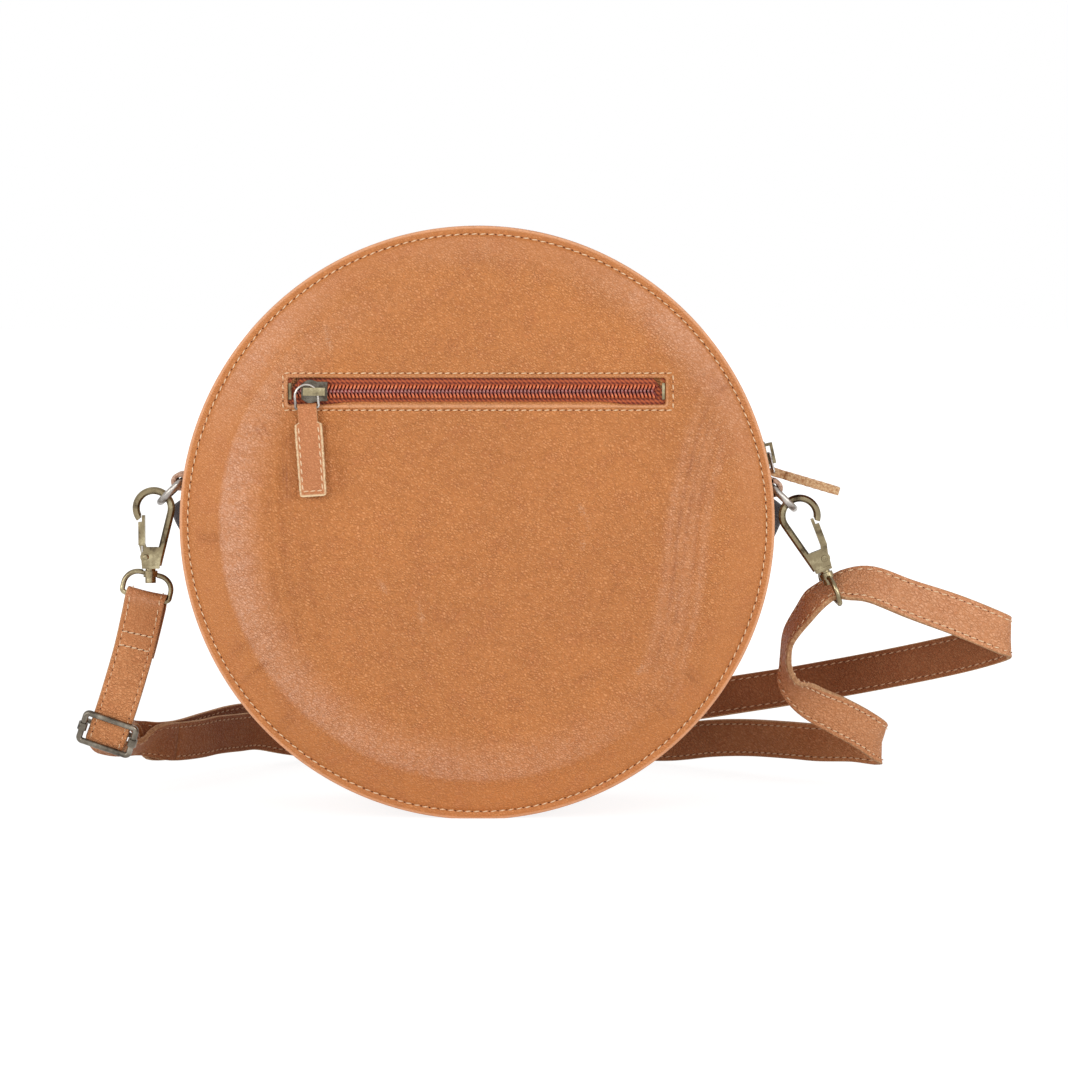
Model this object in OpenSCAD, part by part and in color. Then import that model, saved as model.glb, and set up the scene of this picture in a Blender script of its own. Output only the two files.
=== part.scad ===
// Round leather shoulder bag, standing on its rim, seen pocket side first (-Y).
// Origin on the flat under the base gusset, +Z up, millimetres.

/* [Bag body] */
// Diameter over the sewn rims
bag_d = 245; // [225:1:265]
// Depth over the two sewn rims
rim_depth = 74.8; // [66:0.2:84]
// How far each panel swells past its rim
panel_crown = 8; // [6:0.5:10]
// Thickness of the leather
leather = 1.4; // [1.2:0.1:1.6]
// Width of the flange outside the seam
flange_w = 3.5; // [3:0.1:4.5]
// Width of the swelling shoulder of a panel
shoulder_w = 26; // [22:1:32]
// Thickness of the lining
lining = 0.6; // [0.4:0.1:0.8]
// Thickness of the stiffener boards
board = 1; // [0.8:0.1:1.3]

/* [Main zip] */
// Angle above level at which the zip starts and ends
zip_from = 9.5; // [9:0.5:14]
// Width of the slot between the two gusset strips
zip_slot = 11; // [10.4:0.2:13]
// Width of the zip tape
tape_w = 24; // [20:1:30]
// Thickness of the zip tape
tape_t = 0.8; // [0.6:0.1:1]
// Width of the closed chain
chain_w = 5.2; // [4.4:0.2:5.8]
// Height of the closed chain over the tape
chain_h = 1.8; // [1.4:0.1:2]
// Angle at which the closed slider stands
slider_at = 12.6; // [12:0.2:18]

/* [Pocket zip] */
// Length of the pocket slot
pocket_slot_l = 154; // [130:1:160]
// Height of the pocket slot
pocket_slot_h = 10.8; // [10.4:0.2:13]
// Height of the pocket zip above the bag's centre
pocket_up = 55; // [45:1:58]
// Gap from the end of the slot to the slider
pocket_slider_in = 10.8; // [10.6:0.2:20]
// Depth of the pocket pouch below its zip
pouch_deep = 107; // [70:1:115]

/* [Sliders and pulls] */
// Width of a slider over its cheeks
slider_w = 9.4; // [8.8:0.2:9.8]
// Length of a slider
slider_l = 10.6; // [10:0.2:12]
// Thickness of a slider's plate
slider_t = 1.2; // [1:0.1:1.6]
// Height of the eye under a slider's bridge
eye_h = 1.9; // [1.6:0.1:2.4]
// Wire thickness of the pull links
link_wire = 1.1; // [0.9:0.1:1.2]
// Width of the pull links on their centre line
link_w = 9.4; // [9:0.1:10.4]
// Length of the pocket pull tab
pull_l = 38; // [30:1:42]
// Width of the pull tabs at the open end
pull_w = 11.4; // [10:0.2:11.8]
// Thickness of the folded pull tabs
pull_t = 3.6; // [3:0.2:4]

/* [D rings] */
// Wire thickness of the D rings
d_wire = 3; // [2.4:0.2:3.4]
// Clear width inside a D ring
d_inner = 16; // [15:0.5:19]
// Height of a D ring, bar centre to bow centre
d_height = 12.4; // [12:0.2:14]
// Wall of the leather loop round the bar
loop_wall = 1.5; // [1.2:0.1:1.8]

/* [Snap hooks] */
// Outer radius of the hook's bow
bow_r = 8.9; // [8.4:0.1:10]
// Width of the bow's metal
bow_w = 3; // [2.6:0.1:3.2]
// Thickness of the hook's metal
hook_t = 3.4; // [3:0.1:4]
// Height of the bow's centre over the rivet
bow_up = 20.6; // [20:0.2:24]
// Thickness of the gate's tongue
tongue_t = 1; // [0.8:0.1:1.2]
// Radius of the gate's rivet
rivet_r = 1; // [0.8:0.05:1.1]
// Radius of the swivel stud
stud_r = 1.3; // [1.1:0.05:1.4]
// Wire thickness of the swivel ring
swivel_wire = 2.2; // [1.8:0.1:2.4]
// Width of the swivel ring on its centre line
swivel_w = 20.2; // [19.8:0.1:22]
// Drop of the swivel ring's bar under its boss
swivel_drop = 10; // [9.6:0.2:12]

/* [Strap] */
// Width of the strap
strap_w = 17; // [15:0.5:17.4]
// Thickness of the strap
strap_t = 2.4; // [1.8:0.1:2.6]
// Wire thickness of the adjuster
adj_wire = 2.6; // [2:0.1:3]
// Width of the adjuster over its wire
adj_w = 24.8; // [24:0.2:28]
// Height of the adjuster over its wire
adj_h = 15.5; // [14:0.5:18]

/* [Hidden] */
$fn = 64;

// colours as the photograph shows them
tan = "#cf8a5c";
tan_edge = "#c79a6c";
rust = "#a5502c";
coil_brown = "#7a3524";
brass = "#8f8267";
nickel = "#8c8780";
gunmetal = "#4a4744";
lining_beige = "#b79f7d";
board_grey = "#8f8577";

// small values shared by many pieces
over = 1;                    // overrun of every cut
lay = 0.1;                   // gap between plies laid on each other
run_gap = 0.4;               // running gap of sliding pieces
fit_gap = 0.05;              // radial gap of a pin in its bore
foot_cut = 0.5;              // depth of the flat that the bag stands on
bag_r = bag_d / 2;
cz = bag_r - foot_cut;       // height of the bag's centre
rim_h = rim_depth / 2;
seam_r = bag_r - flange_w;
plateau_r = seam_r - shoulder_w;
web_half = rim_h - 2 * leather;
big = bag_d;

// helpers
// revolve a profile (radius, distance from the mid plane) about the bag's axis
module turned(a0, a1) {
    translate([0, 0, cz]) rotate([90, 0, 0]) rotate([0, 0, a0])
        rotate_extrude(angle = a1 - a0, $fn = 180) children();
}
module turned_full() {
    translate([0, 0, cz]) rotate([90, 0, 0]) rotate_extrude($fn = 180) children();
}
module above_floor() {
    difference() { children(); translate([-big, -big, -big]) cube([2 * big, 2 * big, big]); }
}
// an arc of wire in the XZ plane, angles from +X towards +Z
module elbow(R, r, a0, a1) {
    rotate([90, 0, 0]) rotate([0, 0, a0]) rotate_extrude(angle = a1 - a0) translate([R, 0]) circle(r = r);
}
// closed wire ring in the XZ plane: top bar on z = 0, bottom bar on z = -h
module ring_frame(w, h, rt, rb, r) {
    if (w > 2 * rt) translate([-(w / 2 - rt), 0, 0]) rotate([0, 90, 0]) cylinder(r = r, h = w - 2 * rt);
    if (w > 2 * rb) translate([-(w / 2 - rb), 0, -h]) rotate([0, 90, 0]) cylinder(r = r, h = w - 2 * rb);
    for (s = [-1, 1]) translate([s * w / 2, 0, rb - h]) cylinder(r = r, h = h - rt - rb);
    translate([w / 2 - rt, 0, -rt]) elbow(rt, r, 0, 90);
    translate([rt - w / 2, 0, -rt]) elbow(rt, r, 90, 180);
    translate([rb - w / 2, 0, rb - h]) elbow(rb, r, 180, 270);
    translate([w / 2 - rb, 0, rb - h]) elbow(rb, r, 270, 360);
}
// plate with round corners, its outline in XZ and its thickness along Y about zero
module slab(t) { rotate([90, 0, 0]) linear_extrude(t, center = true) children(); }

// bag shell
shoulder_shares = [0, 0.08, 0.16, 0.26, 0.38, 0.52, 0.68, 0.84, 1];
function panel_h(r) = r <= plateau_r ? rim_h + panel_crown
    : rim_h + panel_crown * (1 - pow(1 - (seam_r - r) / shoulder_w, 2));
// one ply that follows the panel, a distance under its face, out to a radius on the shoulder
function ply_out(last) = [for (s = shoulder_shares) let(r = plateau_r + s * last * shoulder_w) r];
module ply(under, t, last) {
    rs = ply_out(last);
    polygon(concat([[0, panel_h(0) - under]], [for (r = rs) [r, panel_h(r) - under]],
        [for (i = [len(rs) - 1:-1:0]) [rs[i], panel_h(rs[i]) - under - t]], [[0, panel_h(0) - under - t]]));
}
module panel_profile() {
    rs = ply_out(1);
    polygon(concat([[0, panel_h(0)]], [for (r = rs) [r, panel_h(r)]],
        [[bag_r, rim_h], [bag_r, rim_h - leather]],
        [for (i = [len(rs) - 1:-1:0]) [rs[i], panel_h(rs[i]) - leather]], [[0, panel_h(0) - leather]]));
}
pocket_z = cz + pocket_up;
module pocket_slot(grow, deep) {
    translate([-pocket_slot_l / 2 - grow, -deep, pocket_z - pocket_slot_h / 2 - grow])
        cube([pocket_slot_l + 2 * grow, deep, pocket_slot_h + 2 * grow]);
}
module pocket_panel() color(tan) difference() {
    above_floor() turned_full() panel_profile();
    pocket_slot(0, rim_h + panel_crown + over);
}
module plain_panel() color(tan) above_floor() mirror([0, 1, 0]) turned_full() panel_profile();

web_bulge = flange_w;
function web_out(y) = seam_r + web_bulge * (1 - pow(y / web_half, 2));
web_steps = 12;
function barrel(y0, y1, off) =
    [for (i = [0:web_steps]) let(y = y0 + (y1 - y0) * i / web_steps) [web_out(y) - off, y]];
function back_to(list) = [for (i = [len(list) - 1:-1:0]) list[i]];
module barrel_ply(y0, y1, off, t) { polygon(concat(barrel(y0, y1, off), back_to(barrel(y0, y1, off + t)))); }
module base_gusset() color(tan) above_floor() turned(180 - zip_from, 360 + zip_from) polygon(concat(
    [[seam_r - leather, -web_half - leather], [bag_r, -web_half - leather], [bag_r, -web_half]],
    barrel(-web_half, web_half, 0),
    [[bag_r, web_half], [bag_r, web_half + leather], [seam_r - leather, web_half + leather]],
    back_to(barrel(-web_half, web_half, leather))));
module zip_strip() {
    turned(zip_from, 180 - zip_from) polygon(concat(barrel(zip_slot / 2, web_half, 0),
        [[bag_r, web_half], [bag_r, web_half + leather], [seam_r - leather, web_half + leather]],
        back_to(barrel(zip_slot / 2, web_half, leather))));
}
module zip_gusset_front() color(tan) zip_strip();
module zip_gusset_back() color(tan) mirror([0, 1, 0]) zip_strip();

// boards, linings and the pouch behind the pocket zip
pocket_tape_h = pocket_slot_h + 7 * lining + 2;
board_top = pocket_z - pocket_tape_h / 2 - board;
board_reach = 0.2;
module pocket_board() color(board_grey) intersection() {
    turned_full() ply(leather + lay, board, board_reach);
    translate([-big, -big, 0]) cube([2 * big, 2 * big, board_top]);
}
module plain_board() color(board_grey) mirror([0, 1, 0]) turned_full() ply(leather + lay, board, board_reach);
module back_lining() color(lining_beige) mirror([0, 1, 0]) turned_full()
    ply(leather + board + 3 * lay, lining, 0.78);
tape_end = 3;                // degrees of zip tape under each end of the base gusset
lining_r = seam_r - leather - 3 * lay;
module front_lining() color(lining_beige) translate([0, -web_half + lay, cz]) rotate([-90, 0, 0])
    cylinder(r = lining_r, h = lining, $fn = 180);
lining_half = web_half - lining - 4 * lay;
module gusset_lining() color(lining_beige) difference() {
    turned_full() barrel_ply(-lining_half, lining_half, leather + lay, lining);
    turned(zip_from - tape_end - 0.5, 180.5 + tape_end - zip_from)
        translate([seam_r - 4 * leather, -tape_w / 2 - lay])
        square([bag_r - seam_r + 4 * leather, tape_w + 2 * lay]);
}
// the pouch hangs behind the board and opens into the slot
pocket_face = rim_h + panel_crown;
pocket_tape_y = pocket_face - leather - 0.9 * lining / 0.6;
pouch_front = pocket_tape_y - tape_t - lay;
pouch_back = web_half + 2 * lay;
pouch_w = pocket_slot_l + 10;
pouch_top = pocket_z + pocket_slot_h / 2 + 4 * lining;
pouch_wall = 0.8;
module pocket_pouch() color(lining_beige) difference() {
    translate([-pouch_w / 2, -pouch_front, pocket_z - pouch_deep])
        cube([pouch_w, pouch_front - pouch_back, pouch_top - pocket_z + pouch_deep]);
    translate([-pouch_w / 2 + pouch_wall, -pouch_front + pouch_wall, pocket_z - pouch_deep + pouch_wall])
        cube([pouch_w - 2 * pouch_wall, pouch_front - pouch_back - 2 * pouch_wall,
              pouch_top - pocket_z + pouch_deep - 2 * pouch_wall]);
    pocket_slot(0, pouch_front + over);
}

// main zip
module main_zip_tape() color(rust) turned(zip_from - tape_end, 180 + tape_end - zip_from)
    barrel_ply(-tape_w / 2, tape_w / 2, leather + lay, tape_t);
tape_face = web_out(0) - leather - lay;      // radius of the tape's outer face at mid width
chain_from = zip_from + 0.9;
module main_zip_coil() color(coil_brown) turned(chain_from, 180 - chain_from) polygon([
    [tape_face + lay / 2, -chain_w / 2], [tape_face + chain_h * 0.6, -chain_w / 2],
    [tape_face + chain_h, -chain_w / 2 + chain_h * 0.4], [tape_face + chain_h, chain_w / 2 - chain_h * 0.4],
    [tape_face + chain_h * 0.6, chain_w / 2], [tape_face + lay / 2, chain_w / 2]]);
// a place on the zip, +X outwards, +Z along the zip towards the left end
module on_zip(a) { translate([0, 0, cz]) rotate([0, -a, 0]) translate([tape_face, 0, 0]) children(); }
stop_l = chain_h * 0.6;
module stop() {
    translate([lay, -chain_w / 2 - leather / 2, -stop_l / 2]) cube([chain_h, chain_w + leather, stop_l]);
}
module main_zip_stops() color(brass) { on_zip(zip_from + 0.45) stop(); on_zip(179.55 - zip_from) stop(); }

// slider: plate with a wide nose, cheeks down to the tape and a bridge with an eye
// local frame: +X away from the tape, +Z towards the nose
slider_up = chain_h + run_gap;               // underside of the plate over the tape
cheek_in = chain_w / 2 + run_gap;            // clear half width between the cheeks
tail_share = 0.42;
nose_shares = [[-0.5, tail_share], [-0.12, tail_share], [0.1, 0.5], [0.26, 0.5], [0.5, 0.33]];
bridge_w = slider_w * 0.34;
bridge_l = slider_l * 0.84;
bridge_t = 1.2;
eye_x = slider_up + slider_t + eye_h / 2;    // height of the eye's centre
module slider() {
    pts = [for (s = nose_shares) [-s[0] * slider_l, s[1] * slider_w]];
    translate([slider_up, 0, 0]) rotate([0, 90, 0]) linear_extrude(slider_t)
        polygon(concat(pts, [for (i = [len(pts) - 1:-1:0]) [pts[i][0], -pts[i][1]]]));
    for (s = [0, 1]) mirror([0, s, 0]) {
        translate([run_gap, cheek_in, -slider_l / 2])
            cube([slider_up, slider_w * tail_share - cheek_in, slider_l * 0.38]);
        translate([run_gap, cheek_in, slider_l * 0.1])
            cube([slider_up, slider_w / 2 - cheek_in, slider_l * 0.16]);
    }
    difference() {
        translate([slider_up + slider_t / 2, -bridge_w / 2, -bridge_l / 2])
            cube([slider_t / 2 + eye_h + bridge_t, bridge_w, bridge_l]);
        translate([slider_up + slider_t, -slider_w, -bridge_l / 2 + bridge_t])
            cube([eye_h, 2 * slider_w, bridge_l - 2 * bridge_t]);
    }
}
module main_zip_slider() color(brass) on_zip(slider_at) rotate([180, 0, 0]) slider();

// main pull: a link hanging in the eye and a folded leather tab resting on the D ring's loop
link_r = link_wire / 2;
link_round = link_r * 1.1;
main_link_h = 8;
main_pivot = [(tape_face + eye_x) * cos(slider_at), 0, cz + (tape_face + eye_x) * sin(slider_at)];
main_link_lean = slider_at + 1.5; // the link hangs along the zip
main_tab_lean = 73.5;        // the tab hangs this far out from straight down
module on_main_link() { translate(main_pivot) rotate([0, -main_link_lean, 0]) rotate([0, 0, 90]) children(); }
module main_pull_link() color(nickel) on_main_link()
    ring_frame(link_w, main_link_h, link_round, link_round, link_r);
// tab in the XZ plane: fold round the origin, hanging down -Z, neck then full width
neck_share = 0.16;
neck_w = link_w - link_wire - 4 * fit_gap - link_round / 2;   // the fold fits between the link's legs
module pull_tab(l, bar) {
    w = pull_w;
    difference() {
        union() {
            rotate([0, 90, 0]) cylinder(r = pull_t / 2, h = neck_w, center = true);
            slab(pull_t) polygon([[-neck_w / 2, 0], [-neck_w / 2, -l * neck_share],
                [-w / 2, -l * neck_share - leather], [-w * 0.48, -l + leather], [-w * 0.48 + leather, -l],
                [w * 0.48 - leather, -l], [w * 0.48, -l + leather], [w / 2, -l * neck_share - leather],
                [neck_w / 2, -l * neck_share], [neck_w / 2, 0]]);
        }
        rotate([0, 90, 0]) cylinder(r = bar, h = 2 * w, center = true);
    }
}
main_bar = [main_pivot[0] + main_link_h * sin(main_link_lean), 0,
    main_pivot[2] - main_link_h * cos(main_link_lean)];
module main_pull_tab() color(tan_edge) translate(main_bar) rotate([0, -main_tab_lean, 0]) rotate([0, 0, 90])
    pull_tab(pull_l * 0.78, link_r + fit_gap);

// pocket zip
pocket_tape_w = pocket_slot_l + 3;
module pocket_zip_tape() color(rust)
    translate([-pocket_tape_w / 2, -pocket_tape_y, pocket_z - pocket_tape_h / 2])
        cube([pocket_tape_w, tape_t, pocket_tape_h]);
pocket_chain_l = pocket_slot_l - 2 * leather;
module pocket_zip_coil() color(coil_brown) translate([-pocket_chain_l / 2, -pocket_tape_y, pocket_z])
    rotate([0, 90, 0]) linear_extrude(pocket_chain_l) polygon([
        [-chain_w / 2, 0], [-chain_w / 2, -chain_h * 0.6], [-chain_w / 2 + chain_h * 0.4, -chain_h],
        [chain_w / 2 - chain_h * 0.4, -chain_h], [chain_w / 2, -chain_h * 0.6], [chain_w / 2, 0]]);
// a place on the pocket zip, +X of the slider away from the tape, its nose to the left
module on_pocket(x) { translate([x, -pocket_tape_y, pocket_z])
    rotate([0, 0, -90]) rotate([90, 0, 0]) children(); }
pocket_end_x = pocket_chain_l / 2 + stop_l / 2 + lay;
module pocket_zip_stops() color(brass) for (s = [-1, 1])
    translate([s * pocket_end_x, -pocket_tape_y, pocket_z])
    rotate([0, 0, -90]) rotate([90, 0, 0]) stop();
pocket_slider_x = -pocket_slot_l / 2 + pocket_slider_in;
module pocket_zip_slider() color(brass) on_pocket(pocket_slider_x) slider();
// pocket link: its round top runs through the slider's eye, its bar holds the tab
pocket_link_h = 9.4;
pocket_link_y = -pocket_tape_y - eye_x;
pocket_link_top = pocket_z + bridge_w / 2 + 2 * link_r;
pocket_link_x = pocket_slider_x - slider_w * 0.34; // it hangs to the left of the eye
pocket_tab_turn = -3.8;                          // and a little askew
module on_pocket_link() {
    translate([pocket_link_x, pocket_link_y, pocket_link_top - link_w / 2])
        rotate([0, pocket_tab_turn, 0]) children();
}
module pocket_pull_link() color(nickel) on_pocket_link() translate([0, 0, link_w / 2])
    ring_frame(link_w, pocket_link_h, link_w / 2, link_round, link_r);
pocket_bar_drop = pocket_link_h - link_w / 2;
module pocket_pull_tab() color(tan_edge) on_pocket_link() translate([0, 0, -pocket_bar_drop])
    pull_tab(pull_l, link_r + 2 * fit_gap);

// D rings and their loops
// a side is [sign, angle of the bar over level, radius of the bar, drop of the ring under level]
loop_gap = 0.15;
loop_in = d_wire / 2 + loop_gap;
loop_r = loop_in + loop_wall;
LEFT = [-1, 7.1, bag_r + loop_r + 0.4, 44];
RIGHT = [1, 5.9, bag_r + loop_r * 0.7, 44];
function bar_at(s) = [s[0] * s[2] * cos(s[1]), 0, cz + s[2] * sin(s[1])];
d_w = d_inner + d_wire;
d_round = d_wire * 0.55;
loop_w = d_w - 2 * d_round - 0.4;
tongue_arc = 5;              // degrees of gusset under each leather tongue
function tongue_top(s) = min(s[1] + tongue_arc, zip_from - 2);
module in_d(s) { translate(bar_at(s)) rotate([0, s[0] * (s[3] - 90), 0]) rotate([0, 0, 90]) children(); }
module d_ring(s) { in_d(s) ring_frame(d_w, d_height, d_round, d_w / 2 - 0.01, d_wire / 2); }
module ring_tab(s) {
    difference() {
        union() {
            translate(bar_at(s)) rotate([90, 0, 0]) cylinder(r = loop_r, h = loop_w, center = true);
            intersection() {
                translate([0, 0, cz]) rotate([0, -(s[0] > 0 ? s[1] : 180 - s[1]), 0])
                    translate([bag_r - leather, -loop_w / 2 + lay, -loop_r * 2.4])
                        cube([s[2] - bag_r + leather, loop_w - 2 * lay, loop_r * 4.8]);
                turned(s[0] > 0 ? s[1] - tongue_arc : 180 - tongue_top(s),
                       s[0] > 0 ? tongue_top(s) : 180 - s[1] + tongue_arc)
                    translate([bag_r - 2 * leather, -loop_w]) square([3.4 * leather + lay, 2 * loop_w]);
            }
        }
        translate(bar_at(s)) rotate([90, 0, 0]) cylinder(r = loop_in, h = d_inner * 2, center = true);
        translate([0, 0, cz]) rotate([90, 0, 0])
            cylinder(r = bag_r + lay, h = 2 * d_inner, center = true, $fn = 180);
    }
}
module left_ring_tab() color(tan) ring_tab(LEFT);
module right_ring_tab() color(tan) ring_tab(RIGHT);
module left_d_ring() color(nickel) d_ring(LEFT);
module right_d_ring() color(nickel) d_ring(RIGHT);

// snap hooks
// hook frame: origin at the rivet, +X towards the bow's closed leg, +Z up, thickness along Y
bow_in = bow_r - bow_w;
bow_mid = bow_r - bow_w / 2;
bow_x = bow_w * 1.1;
leg_lean = 14;
tip_at = 217;
hang = bow_in - d_wire / 2 - 0.5;       // the D ring's bow hangs this far off the hook's bow centre
hook_c = 0.28;                          // chamfer of the cast metal, as a share of its width
cast_shares = [[-0.5, -0.22], [-0.22, -0.5], [0.22, -0.5], [0.5, -0.22],
    [0.5, 0.22], [0.22, 0.5], [-0.22, 0.5], [-0.5, 0.22]];
module cast_section() { polygon([for (p = cast_shares) [p[0] * bow_w, p[1] * hook_t]]); }
plate_top = 4.1;
plate_low = -3.5;
collar_low = -4.9;
cheek_r = 2.45;
post_x = 1.7;
slot_t = tongue_t + 2 * fit_gap + 0.8;  // slot for the gate's tongue and its spring
boss_z = -7.2;
boss_h = swivel_wire + 0.4;
boss_r = 3;
head_h = 2.4;
leg_from = [bow_x + bow_mid * cos(leg_lean), bow_up - bow_mid * sin(leg_lean)];
leg_l = (leg_from[1] - plate_low) / cos(leg_lean);
leg_foot = leg_from[0] - leg_l * sin(leg_lean);
gate_x = -3.2;
lip_top = bow_up - bow_w;
module hook_body() {
    difference() {
        union() {
            translate([bow_x, 0, bow_up]) rotate([90, 0, 0]) rotate([0, 0, -leg_lean])
                rotate_extrude(angle = tip_at + leg_lean) translate([bow_mid, 0]) cast_section();
            translate([leg_from[0], 0, leg_from[1]]) rotate([0, 180 + leg_lean, 0]) linear_extrude(leg_l)
                cast_section();
            slab(hook_t) union() {
                circle(r = cheek_r);
                polygon([[-cheek_r * 0.75, plate_low], [leg_foot + bow_w * 0.3, plate_low],
                    [leg_foot + (plate_top - plate_low) * tan(leg_lean) + bow_w * 0.1, plate_top],
                        [0, plate_top],
                    [-cheek_r * 0.9, cheek_r * 0.45]]);
            }
            translate([post_x - hook_t, -hook_t * 0.65, collar_low])
                cube([2 * hook_t + 0.5, hook_t * 1.3, plate_low - collar_low]);
        }
        // slot, rivet bores, stud bore and the notch for the gate's lip
        translate([-2 * cheek_r, -slot_t / 2, -cheek_r - 0.2])
            cube([2 * cheek_r + leg_foot - bow_w * 0.1, slot_t, plate_top + cheek_r + over]);
        rotate([90, 0, 0]) cylinder(r = rivet_r + fit_gap, h = 2 * hook_t, center = true);
        translate([post_x, 0, collar_low - over])
            cylinder(r = stud_r + fit_gap, h = over + plate_low - collar_low + 0.4);
        translate([gate_x + bow_w * 0.36, -hook_t, lip_top - bow_w * 2])
            cube([bow_w, 2 * hook_t, bow_w * 2 + 0.3]);
    }
}
gate_from = plate_top + 0.9;
gate_top = lip_top - 2.8;
gate_w = 2.8;
module hook_gate() {
    translate([gate_x, -hook_t * 0.47, gate_from]) cube([gate_w * 0.6, hook_t * 0.94, gate_top - gate_from]);
    translate([gate_x + gate_w * 0.55, -hook_t * 0.47, gate_from])
        cube([gate_w * 0.45, hook_t * 0.94, lip_top - gate_from]);
    difference() {
        translate([0, slot_t / 2 - fit_gap - tongue_t / 2, 0]) slab(tongue_t) union() {
            circle(r = cheek_r * 0.8);
            polygon([[gate_x, gate_from + over / 2], [-cheek_r * 0.78, 0], [cheek_r * 0.6, 0],
                [gate_x + gate_w, gate_from + over / 2]]);
        }
        rotate([90, 0, 0]) cylinder(r = rivet_r + fit_gap, h = 2 * hook_t, center = true);
    }
}
spring_t = 0.5;
module gate_spring() translate([0, -slot_t / 2 + fit_gap + spring_t / 2, 0]) difference() {
    slab(spring_t) union() {
        circle(r = cheek_r * 0.75);
        polygon([[-cheek_r * 0.74, 0], [-cheek_r * 0.5, 0],
            [-cheek_r * 0.55, gate_from - 0.3], [-cheek_r * 0.9, gate_from - 0.3]]);
    }
    rotate([90, 0, 0]) cylinder(r = rivet_r + fit_gap, h = 2 * spring_t, center = true);
}
rivet_head = 0.7;
module gate_rivet() {
    rotate([90, 0, 0]) cylinder(r = rivet_r, h = hook_t, center = true);
    translate([0, -hook_t / 2, 0]) rotate([90, 0, 0]) cylinder(r = rivet_r * 1.75, h = rivet_head * 0.4);
    translate([0, -hook_t / 2 - rivet_head * 0.4, 0]) rotate([90, 0, 0])
        rotate_extrude() polygon([[0, 0], [rivet_r * 1.33, 0], [rivet_r * 1.2, rivet_head * 0.45],
            [rivet_r * 0.75, rivet_head * 0.85], [0, rivet_head]]);
    difference() {
        translate([0, hook_t / 2, 0]) rotate([-90, 0, 0])
            rotate_extrude() polygon([[0, 0], [rivet_r * 1.45, 0],
            [rivet_r * 1.3, rivet_head * 0.5], [0, rivet_head * 0.5]]);
        rotate([-90, 0, 0]) cylinder(r = rivet_r * 0.55, h = hook_t);
    }
}
module swivel_stud() translate([post_x, 0, 0]) {
    boss_low = boss_z - boss_h / 2;
    translate([0, 0, boss_low - fit_gap * 2]) cylinder(r = stud_r, h = plate_low - boss_low);
    translate([0, 0, boss_z + boss_h / 2 + fit_gap * 2])
        cylinder(r = stud_r * 1.65, h = collar_low - boss_z - boss_h / 2 - 4 * fit_gap);
    translate([0, 0, boss_low - fit_gap * 2 - head_h]) cylinder(r = stud_r * 1.75, h = head_h);
}
// the ring's wire stands tilted in its boss, as the loose fit lets it
module swivel_ring(yaw, rock) translate([post_x, 0, boss_z]) rotate([0, 0, yaw]) difference() {
    union() {
        rotate([0, rock, 0])
            ring_frame(swivel_w, swivel_drop, swivel_w * 0.3, swivel_wire * 0.75, swivel_wire / 2);
        cylinder(r = boss_r, h = boss_h, center = true);
    }
    cylinder(r = stud_r + 2 * fit_gap, h = 4 * boss_h, center = true);
    translate([0, 0, boss_h / 2]) cylinder(r = boss_r, h = boss_h);
    translate([0, 0, -boss_h / 2 - head_h - 4 * fit_gap])
        cylinder(r = stud_r * 1.75 + run_gap, h = head_h + 4 * fit_gap);
}
// a hook hangs from the bow of its D ring: [lean, turned half round, angle of the hang,
// yaw, rock of the ring]
L_HOOK = [0, 0, 43, 7, 14];
R_HOOK = [-21, 180, 52, -80, -22];
function apex(s) = bar_at(s) + [s[0] * d_height * cos(s[3]), 0, -d_height * sin(s[3])];
function bow_at(s, h) = apex(s) + [s[0] * hang * cos(h[2]), 0, -hang * sin(h[2])];
function from_rivet(h) = let(x = h[1] > 0 ? -bow_x : bow_x)
    [x * cos(h[0]) + bow_up * sin(h[0]), 0, -x * sin(h[0]) + bow_up * cos(h[0])];
module in_hook(s, h) { translate(bow_at(s, h) - from_rivet(h))
    rotate([0, h[0], 0]) rotate([0, 0, h[1]]) children(); }
module left_hook_body() color(brass) in_hook(LEFT, L_HOOK) hook_body();
module left_hook_gate() color(brass) in_hook(LEFT, L_HOOK) hook_gate();
module left_gate_spring() color(nickel) in_hook(LEFT, L_HOOK) gate_spring();
module left_gate_rivet() color(brass) in_hook(LEFT, L_HOOK) gate_rivet();
module left_swivel_stud() color(brass) in_hook(LEFT, L_HOOK) swivel_stud();
module left_swivel_ring() color(brass) in_hook(LEFT, L_HOOK) swivel_ring(L_HOOK[3], L_HOOK[4]);
module right_hook_body() color(brass) in_hook(RIGHT, R_HOOK) hook_body();
module right_hook_gate() color(brass) in_hook(RIGHT, R_HOOK) hook_gate();
module right_gate_spring() color(nickel) in_hook(RIGHT, R_HOOK) gate_spring();
module right_gate_rivet() color(brass) in_hook(RIGHT, R_HOOK) gate_rivet();
module right_swivel_stud() color(brass) in_hook(RIGHT, R_HOOK) swivel_stud();
module right_swivel_ring() color(brass) in_hook(RIGHT, R_HOOK) swivel_ring(R_HOOK[3], R_HOOK[4]);

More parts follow.
